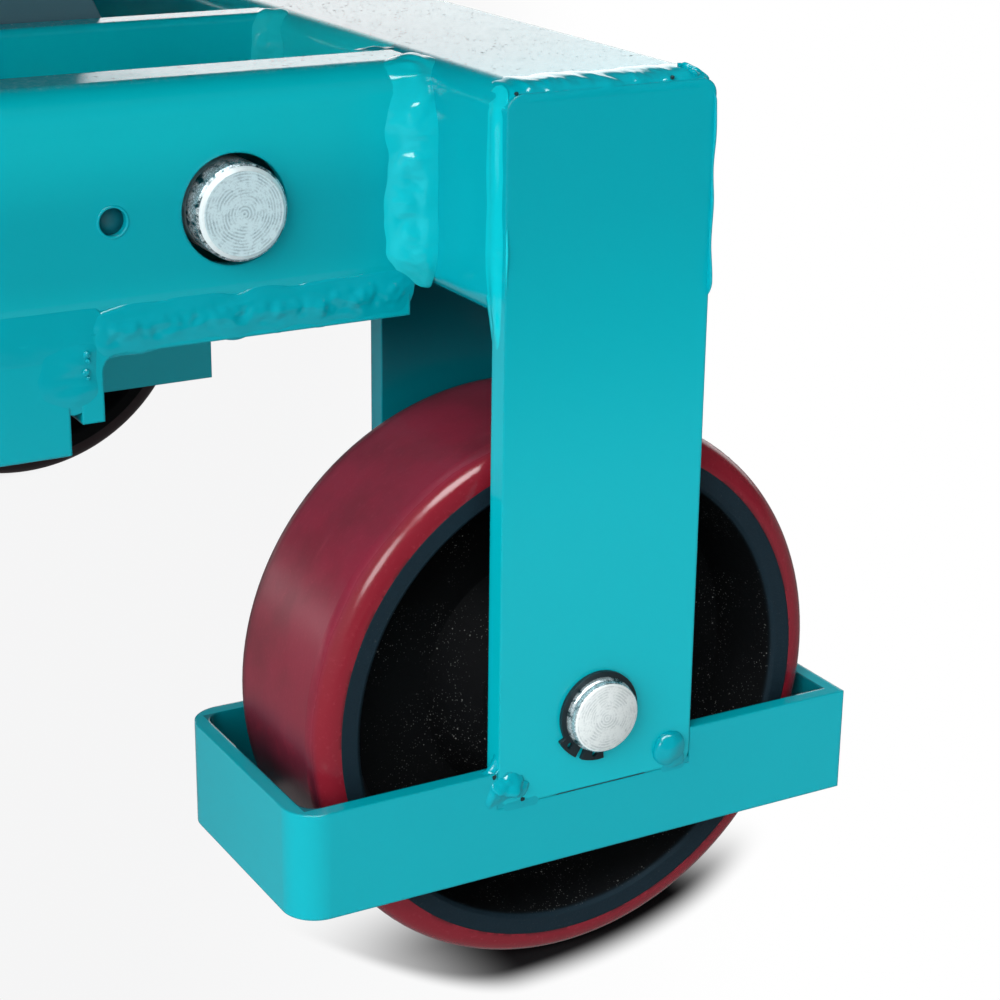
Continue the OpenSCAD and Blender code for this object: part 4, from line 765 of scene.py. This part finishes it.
@dataclass
class BaseFrame(Assembly):
    """Beams, rails, wheel plates and guards, and the welds that join them."""

    finishes = {
        Paint.FRAME: ("rear_beam", "lower_rails", "cross_angle", "cylinder_cross_member"),
        Paint.INNER_RAIL: ("inner_rail_{}",), Paint.RAIL: ("outer_rail_{}",),
        Paint.PLATE: ("outer_wheel_plate_{}",), Paint.SPRING: ("circlips",), Paint.ZINC: ("frame_fasteners",)}
    rail_in: float = 38.0
    rail_w: float = 28.5
    inner_in: float = 129.0
    frame_top: float = 238.0
    frame_bottom: float = 181.0
    beam_half: float = 29.0
    rear_edge: float = -882.0
    axle: tuple[float, float] = (0.0, 75.0)
    axle_r: float = 8.9
    pin: tuple[float, float] = (-81.0, 207.0)
    pin_r: float = 10.15
    hole: tuple[float, float] = (-111.5, 207.0)
    plate_foot: float = 54.0

    def coat(self, name: str, colour: Colour, deep: Colour, box: tuple[float, float, float, float],
             **more: object) -> PowderCoat:
        """Returns a coat whose colour turns to painted light and shade in a box: two lengths from the axle
        and two |Y|, in metres.
        """
        start, end, inner, outer = box
        lengths = (self.datum.axle_x + start, self.datum.axle_x + end)
        return PowderCoat(name, colour, deep, box=(*lengths, inner, outer), **more)

    def dress(self) -> None:
        """Gives a finish of its own to each solid that needs one, and caps the axles."""
        dress, half = self.palette.dress, self.datum.half_width
        # Painted shade: inside the box the guard is painted dark, standing in for the shade round the wheel.
        guard = self.coat("powder_coat_on_the_guards", srgb(0, 168, 182), srgb(0, 160, 176),
                          (-0.0815, 0.0760, half - 0.0672, half - 0.0038),
                          thick=srgb(0, 112, 124), low=(8.0, 9.0), dust=0.0)
        dress(guard, "wheel_guard_{}")
        # Painted shade: the inner plates are painted dark above 110 to 176 mm, standing in for the shade
        # under the beam and the outer plate.
        dress(self.coat("powder_coat_on_the_inner_plates", srgb(0, 150, 166), srgb(0, 142, 158),
                        (-0.0287, 0.0287, 0.0, 1.0), thick=srgb(0, 72, 82), high=(0.11, 0.176)),
              "inner_wheel_plates")
        # Painted light: the beam's face inward of the outer rail, in the bay, is painted much lighter,
        # standing in for light reaching it.
        dress(self.coat("powder_coat_on_the_beam", srgb(0, 164, 178), srgb(0, 156, 172),
                        (-0.0295, -0.0235, 0.0, half - 0.0665), thick=srgb(30, 232, 240), low=(8.0, 9.0)),
              "front_beam")
        axle = self.steel("turned_axle", self.axle, self.axle_r, 2.0)
        dress(axle, "wheel_axles")
        pin = self.steel("turned_pivot_pin", self.pin, self.pin_r, self.rail_in + 2, worn=0.5, rim=0.0009,
                         colour=srgb(206, 229, 235), stain=srgb(104, 138, 150))
        dress(pin, "base_pivot_pins")
        for side in Side:
            cap = Shape()
            edge = self.axle_r + 0.7
            cap.turned([(0.0, -0.8), (edge, -0.8), (edge, 1.0), (self.axle_r, 1.7), (0.0, 1.7)],
                       self.datum.at(0, -3.2, self.axle[1], side), side.outward, 96)
            self.finish(cap, f"axle_end_{side.word}", axle, slot="zinc")

    def steel(self, name: str, place: tuple[float, float], face: float, shown: float,
              **more: object) -> TurnedSteel:
        """Returns the steel of a pin, from its end face's radius and the depth up to which its side shows."""
        length, height = place
        return TurnedSteel(name, self.datum.axle_x + length * MM, height * MM, face * MM,
                           self.datum.half_width - shown * MM, **more)

    def rail_joint(self, shape: Shape, side: Side, depth: float, round_r: float, legs: tuple[float, float],
                   lump: float, seed: float, rear: bool = False) -> None:
        """Welds the end of a rail to the side of a beam: up its face and round its top edge.

        Args:
            shape: The piece that takes the seams.
            side: The side of the table.
            depth: The depth of the rail's outer face.
            round_r: The rounding of the rail's top edge.
            legs: The seam's reach along the rail and along the beam.
            lump: How uneven it is.
            seed: Shifts its lumps.
            rear: Whether the beam is the rear one.
        """
        at = partial(self.datum.at, side=side)
        edge, away = (self.rear_edge, -BACK) if rear else (-self.beam_half, BACK)
        reach, rise = legs
        upright = Weld((reach, 0.0), (reach * 0.7, 0.9), (reach * 0.34, rise * 0.9), (0.0, rise),
                       (1.4, -1.4), crown=0.3, lump=lump, along=5.0, across=2.6, stray=0.06,
                       taper=11.0, step=0.5, sides=40)
        over = Weld((reach * 0.8, 0.0), (reach * 0.5, 0.9), (-2.0, 1.2), (-5.0, 0.1), (1.4, -2.2))
        bend = self.frame_top - round_r
        points = [at(edge, depth, height) for height in (self.frame_bottom + 0.8, 200, 215, bend - 4)]
        sides = [side.outward] * len(points)
        for angle in range(0, 91, 15):
            turn = math.radians(angle)
            points.append(at(edge, depth + round_r * (1 - math.cos(turn)), bend + round_r * math.sin(turn)))
            sides.append(side.outward * math.cos(turn) + UP * math.sin(turn))
        points.append(at(edge, depth + round_r + 6.5, self.frame_top))
        sides.append(UP)
        start = bend - self.frame_bottom - 8
        shape.seam(points, away, sides, upright, seed, over, (start, start + 12))

    def rail_ends(self, shape: Shape, side: Side) -> None:
        """Welds the rails' ends to the beams, and the plate's left edge to the front beam."""
        at = partial(self.datum.at, side=side)
        top, low, edge = self.frame_top, self.frame_bottom, -self.beam_half
        self.rail_joint(shape, side, self.rail_in, 8.0, (12.4, 4.4), 0.8, 2)
        self.rail_joint(shape, side, self.rail_in, 8.0, (11.0, 3.0), 0.6, 33, rear=True)
        self.rail_joint(shape, side, self.inner_in, 2.0, (9.0, 3.0), 0.5, 36, rear=True)
        foot = Weld.flat(1.9, 0.5, lump=0.2, along=10.0, across=1.2, taper=8.0, step=0.7)
        butt = Weld.flat(4.6, 1.3, lump=0.6, along=8.0, across=1.4, step=0.7)
        path = [at(edge, 3.4, low - 9), at(edge, 4.2, low - 1), at(edge, 5.6, low + 12),
                at(edge, 5.6, top - 5), at(edge + 1.6, 5.8, top - 0.6)]
        shape.seam(path, -side.outward, BACK, foot, 16, butt, (5.0, 21.0))

    def under_rail(self, shape: Shape, side: Side) -> None:
        """Welds the cross angle and the lower rail under the outer rail."""
        at = partial(self.datum.at, side=side)
        low, rail, outward = self.frame_bottom, self.rail_in, side.outward
        edge, height = -self.beam_half, self.frame_top - 0.2
        flush = Weld.flat(5.6, 1.0, taper=4.0)
        path = [at(edge - 2.6, rail + 24, height), at(edge - 2.4, rail + self.rail_w, height)]
        shape.seam(path, BACK, UP, flush, 5)
        groove = Weld((5.6, -0.1), (2.4, 0.25), (-1.5, 0.5), (-4.6, 0.0), (0.0, -3.5), crown=0.3,
                      lump=0.75, along=6.0, across=3.0, taper=4.5, step=0.55, sides=40)
        path = [at(-33, rail, low + 3), at(-38, rail, low + 0.6), at(-60, rail, low), at(-90, rail, low),
                at(-118.5, rail, low - 0.8)]
        shape.seam(path, UP, outward, groove, 8)
        smooth = Weld((7.2, -0.2), (2.6, -0.1), (-1.2, 0.1), (-4.6, 0.0), (0.0, -3.5), crown=0.1,
                      lump=0.3, along=12.0, across=1.6, step=1.4)
        path = [at(-114, rail, low - 0.6), at(-745, rail, low - 0.6)]
        shape.seam(path, UP, outward, smooth, 10)
        smear = Weld((7.4, 0.0), (3.4, 0.25), (-1.6, 0.6), (-4.6, 0.0), (0.0, -2.0), crown=0.1,
                     lump=0.45, along=5.0, across=2.0, stray=0.25, taper=6.0, step=0.55)
        path = [at(-121.4, rail, low + 1), at(-122.0, rail, low - 8), at(-122.8, rail, low - 19)]
        shape.seam(path, BACK, outward, smear, 13)
        for length, drop, radius in ((-119.5, 4.4, 0.9), (-119.2, 6.0, 0.6),
                                     (-119.9, 8.7, 0.9), (-119.4, 10.2, 0.5)):
            shape.blob(at(length, rail - 0.5, low - drop), outward, radius, radius * 0.8, 0.3, drop)

    def plate_edges(self, shape: Shape, side: Side) -> None:
        """Welds the outer wheel plate to the beam over the top and down its right edge."""
        at = partial(self.datum.at, side=side)
        top, low, half, outward = self.frame_top, self.frame_bottom, self.beam_half, side.outward
        ridge = Weld((2.2, -0.02), (-0.6, -0.3), (-3.0, 2.2), (-2.0, 12.0), (1.2, 3.2), crown=0.3,
                     lump=0.55, along=4.6, across=2.4, stray=0.05, taper=3.0, step=0.5, sides=40)
        rounding = ((0.5, 0.3, 7.0), (1.2, 0.2, 4.4), (2.8, 0.1, 2.6), (6.0, 0.0, 2.0))
        path = [at(along - half, depth, top - drop) for along, depth, drop in rounding]
        path += [at(half - along, depth, top - drop) for along, depth, drop in reversed(rounding)]
        shape.seam(path, -UP, -outward, ridge, 17)
        shape.blob(at(half - 3.6, 4.8, top - 1.9), (UP - BACK * 0.7).normalized(), 4.6, 1.6, 0.4, 19)
        bulge = Weld.flat(5.2, 0.8, lump=0.75, along=11.0, across=1.2, taper=6.0)
        path = [at(half, 5.0, low - 1), at(half, 5.0, low + 28), at(half, 5.2, top - 7),
                at(half - 1.4, 5.4, top - 2)]
        shape.seam(path, -outward, -BACK, bulge, 20)

    def plate_foot_tacks(self, shape: Shape, side: Side) -> None:
        """Tacks the plate to the guard and closes the line between them with paint."""
        at = partial(self.datum.at, side=side)
        outward, edge = side.outward, -self.beam_half
        tack = Weld.flat(4.8, 0.8, lump=0.6, along=3.8, across=2.4, stray=0.3, taper=4.5, step=0.35)
        path = [at(-34.4, 0.05, 55.4), at(-31, 0.05, 58.0), at(-26.5, 0.05, 59.8), at(-20.4, 0.05, 59.4)]
        shape.seam(path, UP, outward, tack, 21)
        shape.blob(at(-26.0, 0.3, 61.0), (outward + UP * 0.6).normalized(), 4.4, 1.5, 0.35, 22)
        shape.blob(at(-22.8, 0.1, 58.4), outward, 2.6, 0.9, 0.3, 23)
        web = Weld((4.2, 0.0), (1.6, 0.3), (0.3, 1.6), (0.0, 4.2), (-0.6, -0.6), crown=0.2, lump=0.15,
                   taper=1.5, step=0.4)
        shape.seam([at(edge, 0.2, 64), at(edge, 3.9, 64)], BACK, UP, web, 23)
        shape.blob(at(22.4, 0.0, 59.6), (outward - UP * 0.12).normalized(), 4.9, 2.7, 0.1, 24)
        shape.blob(at(24.2, 0.1, 55.6), (outward - UP * 0.3).normalized(), 3.3, 1.1, 0.2, 25)
        closed = Weld.flat(1.7, 0.12, lump=0.05, along=9.0, taper=3.0, step=0.6, sides=24)
        line = self.plate_foot - 0.1
        for start, end, shift in ((-29.4, -15.2, 26), (18.6, 29.6, 27)):
            shape.seam([at(start, 0.02, line), at(end, 0.02, line)], UP, outward, closed, shift)
        for length in (-24.0, 24.0):
            shape.blob(at(length, 71.0, 59.0), -outward, 5.0, 2.0, 0.3, length)

    def inner_joints(self, shape: Shape, side: Side) -> None:
        """Adds the hole's painted lip and the welds of the inner plates and the cross member."""
        at = partial(self.datum.at, side=side)
        low, outward = self.frame_bottom, side.outward
        eighth = math.tau / 8
        lip = [(3.65 + 0.35 * math.cos(step * eighth), 0.22 * math.sin(step * eighth)) for step in range(8)]
        shape.turned(lip, at(self.hole[0], self.rail_in, self.hole[1]), outward, 48)
        corner = Weld((5.0, 0.0), (2.6, 0.6), (0.6, 2.6), (0.0, 5.0), (-0.8, -0.8), crown=0.4, step=1.0)
        shape.seam([at(-26, 65.0, low), at(26, 65.0, low)], outward, -UP, corner, 30)
        shape.seam([at(-26, 71.0, low), at(26, 71.0, low)], -outward, -UP, corner, 31)
        depth = self.rail_in + self.rail_w
        for length, away in ((-297.5, BACK), (-268.5, -BACK)):
            path = [at(length, depth, 155), at(length, depth, 178)]
            shape.seam(path, -outward, away, corner, length)

    def welds(self, side: Side) -> None:
        """Lays the welds of one side, in three pieces."""
        seed = 0.0 if side is Side.RIGHT else 17.0
        shape = Shape(seed)
        self.rail_joint(shape, side, self.inner_in, 2.0, (7.0, 6.0), 0.9, 7)
        self.finish(shape, f"inner_rail_welds_{side.word}", Paint.BAY_WELD)
        shape = Shape(seed)
        self.rail_ends(shape, side)
        self.finish(shape, f"rail_welds_{side.word}", Paint.WELD)
        shape = Shape(seed)
        for lay in (self.under_rail, self.plate_edges, self.plate_foot_tacks, self.inner_joints):
            lay(shape, side)
        self.finish(shape, f"frame_welds_{side.word}", Paint.SEAM)

    def pits(self, side: Side) -> None:
        """Adds a disc in the hole in the rail, coloured as painted shade of the rail's inside, the plate's
        open line and the pinholes of the paint.
        """
        at = partial(self.datum.at, side=side)
        # Painted shade: a dark teal disc set 2 mm into the hole stands in for the dim inside of the rail.
        shade_disc = Shape()
        shade_disc.turned([(0.0, 0.0), (3.3, 0.0), (3.3, -0.6), (0.0, -0.6)],
                      at(self.hole[0], self.rail_in + 2.0, self.hole[1]), side.outward, 40)
        self.finish(shade_disc, f"hole_ground_{side.word}", Paint.HOLE)
        bare = Shape()
        line = Weld.flat(0.17, 0.03, lump=0.0, stray=0.0, taper=4.0, step=2.0, sides=16)
        bare.seam([at(-15.4, 0.0, self.plate_foot), at(18.8, 0.0, self.plate_foot)], UP, side.outward, line)
        for length, height, radius in ((-26.6, 236.2, 0.5), (16.2, 236.8, 0.5),
                                       (-21.9, 55.0, 0.75), (-30.2, 63.2, 0.8)):
            bare.blob(at(length, 0.25, height), side.outward, radius, 0.42, 0.3, length)
        self.finish(bare, f"paint_pits_{side.word}", Paint.PIT)

    def build(self) -> None:
        """Dresses the frame and lays its welds."""
        super().build()
        self.dress()
        for side in Side:
            self.welds(side)
            self.pits(side)


@dataclass
class Wheels(Assembly):
    """Pairs of cast wheels with polyurethane treads."""

    tread: float = 7.0
    shoulder: float = 5.5

    def pair(self, kind: str, x: float, radius: float, inboard: float, names: tuple[str, str]) -> None:
        """Gives the wheels of one kind, of a radius in millimetres, their tread and their casting."""
        tread = Polyurethane(names[0], x, radius * MM, inboard)
        core = CastWheel(names[1], x, radius * MM, (radius - self.tread - self.shoulder) * MM, inboard)
        self.palette.dress(tread, kind + "_tread_{}")
        self.palette.dress(core, kind + "_core_{}")


@dataclass
class FixedWheels(Wheels):
    """The two big wheels."""

    finishes = {Paint.ZINC: ("wheel_bearings_{}",)}

    def build(self) -> None:
        """Dresses the wheels."""
        super().build()
        inner = min(abs(corner.y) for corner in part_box("wheel_tread_right"))
        self.pair("wheel", self.datum.axle_x, 75.0, inner, ("red_polyurethane", "black_wheel_casting"))


@dataclass
class Castors(Wheels):
    """The two swivelling wheels with their forks and brakes."""

    finishes = {Paint.ZINC: ("castor_fork_{}", "castor_axle_{}", "castor_heads"),
                Paint.SPRING: ("brake_pedal_{}",)}

    def build(self) -> None:
        """Dresses the castors."""
        super().build()
        low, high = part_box("castor_tread_right")
        names = ("red_polyurethane_castor", "black_castor_casting")
        self.pair("castor", (low.x + high.x) / 2, 62.5, 0.0, names)


@dataclass
class Scissor(Assembly):
    """The crossed arms, their tubes, pins and rollers."""

    finishes = {
        Paint.ARM: ("outer_arm_{}", "inner_arm_{}", "outer_arm_tubes", "inner_arm_tubes"),
        Paint.ZINC: ("centre_pins", "platform_pins", "base_roller_{}", "platform_roller_{}")}

    def build(self) -> None:
        """Dresses the scissor and welds its tubes."""
        super().build()
        self.tube_welds("outer_arms", "outer_arm_tubes")
        self.tube_welds("inner_arms", "inner_arm_tubes")

    def tube_welds(self, body: str, node: str) -> None:
        """Lays a bead round each end of the tubes that a node holds."""
        low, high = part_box(node)
        places = [vert.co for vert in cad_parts[node].data.vertices]
        halfway = (low.x + high.x) / 2
        shape = Shape()
        for farther in (False, True):
            tube = [place for place in places if (place.x >= halfway) is farther]
            xs, zs = [place.x for place in tube], [place.z for place in tube]
            x, z, radius = (min(xs) + max(xs)) / 2, (min(zs) + max(zs)) / 2, (max(xs) - min(xs)) / 2 / MM
            for y in (low.y + 0.8 * MM, high.y - 0.8 * MM):
                shape.ring_bead(Vector((x, y, z)), Vector((0, 1, 0)), radius, 3.0, 0.4, x * 50)
        self.finish(shape, f"{node}_welds", Paint.ARM_WELD, body, "arm_paint")


@dataclass
class Platform(Assembly):
    """The deck with its channels and brackets."""

    finishes = {Paint.FRAME: ("platform_deck", "platform_channels", "platform_brackets")}


@dataclass
class Hydraulics(Assembly):
    """Cylinder, pump, tank, pipe and pedals."""

    finishes = {
        Paint.ARM: ("cylinder_barrel",), Paint.CHROME: ("piston_rod", "pump_plunger"),
        Paint.PUMP: ("pump_block", "oil_tank"), Paint.ZINC: ("pressure_pipe",),
        Paint.SPRING: ("plunger_spring",), Paint.FRAME: ("pump_pedal",), Paint.RELEASE: ("release_pedal",)}


@dataclass
class PushHandle(Assembly):
    """The bent tube at the castor end."""

    finishes = {Paint.FRAME: ("push_handle",)}


# Studio


@dataclass
class Studio(Assembly):
    """Floor, light and camera."""

    yaw: float = 0.518757
    pitch: float = 0.343561
    roll: float = 0.013024
    focal: float = 2391.979
    eye: tuple[float, float, float] = (-300.864, -474.998, 333.369)
    windows: Sequence[tuple[Colour, float, float, float]] = (
        ((-0.20, -0.56, 0.81), 0.978, 0.988, 14.0), ((-0.62, -0.60, 0.50), 0.976, 0.986, 10.0),
        ((0.10, -0.45, 0.89), 0.988, 0.994, 12.0), ((-0.03, 0.82, 0.57), 0.955, 0.992, 3.0))

    def camera(self) -> None:
        """Sets the camera where the photograph was taken from."""
        ahead = Vector((math.sin(self.yaw) * math.cos(self.pitch), math.cos(self.yaw) * math.cos(self.pitch),
                        -math.sin(self.pitch)))
        level = Vector((math.cos(self.yaw), -math.sin(self.yaw), 0))
        over = level.cross(ahead)
        right = level * math.cos(self.roll) + over * math.sin(self.roll)
        top = over * math.cos(self.roll) - level * math.sin(self.roll)
        data = bpy.data.cameras.new("studio_camera")
        data.sensor_width = 36.0
        data.lens = self.focal * data.sensor_width / 1000.0
        data.clip_start = 0.01
        data.clip_end = 50.0
        made = bpy.data.objects.new("studio_camera", data)
        turn = Matrix((right, top, -ahead)).transposed().to_4x4()
        made.matrix_world = Matrix.Translation(self.datum.at(*self.eye)) @ turn
        bpy.context.scene.collection.objects.link(made)
        bpy.context.scene.camera = made

    def lights(self) -> None:
        """Sets the soft light all round, with small bright windows for what is glossy."""
        world = bpy.data.worlds.new("studio_world")
        bpy.context.scene.world = world
        world.use_nodes = True
        g = Graph(world.node_tree)
        path = g.node("ShaderNodeLightPath")
        x, y, height = g.split(g.node("ShaderNodeTexCoord")["Generated"])
        low = 1.0 - height.between(0.2, 0.42)
        glossy = low * y.between(0.15, 0.45) * 1.9 + low * (1.0 - x.between(-0.85, -0.45)) * 0.2 + 0.05
        for (east, north, rise), start, end, power in self.windows:
            glossy = glossy + (x * east + y * north + height * rise).between(start, end) * power
        near_left = (x * -0.85 + y * -0.5).between(-0.5, 0.95)
        horizon = 1.0 - height.between(0.1, 0.7)
        key = (x * -0.78 + y * -0.42 + height * 0.46).between(0.78, 0.97)
        plain = horizon * (near_left * 0.56 + 0.1) + key * 4.3 + height.between(0.4, 0.95) * 0.6 + 0.17
        strength = path["Is Glossy Ray"] * glossy + (1.0 - path["Is Glossy Ray"]) * plain
        strength = path["Is Camera Ray"] + (1.0 - path["Is Camera Ray"]) * strength
        shader = g.node("ShaderNodeBackground", values={"Color": (1.0, 1.0, 1.0), "Strength": strength})
        g.end("ShaderNodeOutputWorld", shader["Background"])

    def floor(self) -> None:
        """Lays the pale floor, with a painted shadow by each wheel's contact that only the camera sees."""
        part = bmesh.new()
        bmesh.ops.create_grid(part, x_segments=1, y_segments=1, size=12.0)
        data = bpy.data.meshes.new("studio_floor")
        part.to_mesh(data)
        part.free()
        floor = bpy.data.objects.new("studio_floor", data)
        bpy.context.scene.collection.objects.link(floor)
        look, g = material("pale_floor")
        x, y, _ = g.split(g.place())
        # Painted shadow: a soft dark patch by each wheel's contact, shaped in floor coordinates and shown to
        # the camera only.
        share = 0.0
        for kind, side in product(("wheel", "castor"), Side):
            low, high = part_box(f"{kind}_tread_{side.word}")
            width = high.y - low.y
            depth = max(abs(low.y), abs(high.y)) - y * side.value
            along = x - (low.x + high.x) / 2
            ahead = along + 0.02
            bend = ahead * ahead * (3.6 + (ahead < 0.0) * 26.0) - 0.0076
            round_it = (depth - bend).between(-0.0066, 0.0068)
            under = 1.0 - depth.between(width - 0.034, width + 0.004)
            fades = (0.04, 0.092) if side is Side.RIGHT else (-0.05, 0.02)
            share = share + round_it * under * (1.0 - along.between(*fades)) * along.between(-0.075, -0.015)
        path = g.node("ShaderNodeLightPath")
        sweep = (x * 0.8685 + y * -0.4957).between(0.46, 0.66)
        shade = g.mix(sweep, (0.915, 0.915, 0.918), (1.0, 1.0, 1.0))
        dark = g.node("ShaderNodeBsdfDiffuse", values={"Color": (0.014, 0.014, 0.015)})
        bright = g.node("ShaderNodeEmission", values={"Color": shade, "Strength": 1.0})
        seen = g.blend(share.clamped(), bright["Emission"], dark["BSDF"])
        near_side = 1.0 - (self.datum.at(0, 0, 0).y - y).between(0.25, 0.56)
        left = 1.0 - (x - self.datum.axle_x).between(-0.35, -0.1)
        mirror = near_side * 0.24 * (1.0 - left) + left * 0.3
        grey = g.node("ShaderNodeEmission", values={"Color": (1.0, 1.0, 1.0), "Strength": mirror})
        plain = g.node("ShaderNodeBsdfDiffuse", values={"Color": (0.82, 0.82, 0.82)})
        other = g.blend(path["Is Glossy Ray"], plain["BSDF"], grey["Emission"])
        g.end("ShaderNodeOutputMaterial", g.blend(path["Is Camera Ray"], other, seen))
        data.materials.append(look)

    def build(self) -> None:
        """Sets up the whole studio."""
        self.camera()
        self.lights()
        self.floor()
        bpy.context.scene.view_settings.view_transform = "Standard"


def main() -> None:
    """Builds every sub-assembly and the studio."""
    logging.basicConfig(level=logging.INFO, format="%(name)s: %(message)s")
    datum = Datum.from_frame()
    palette = Palette()
    for kind in (BaseFrame, FixedWheels, Castors, Scissor, Platform, Hydraulics, PushHandle, Studio):
        kind(datum, palette).build()
        LOG.info("%s built", kind.__name__)


if __name__ == "__main__":
    main()
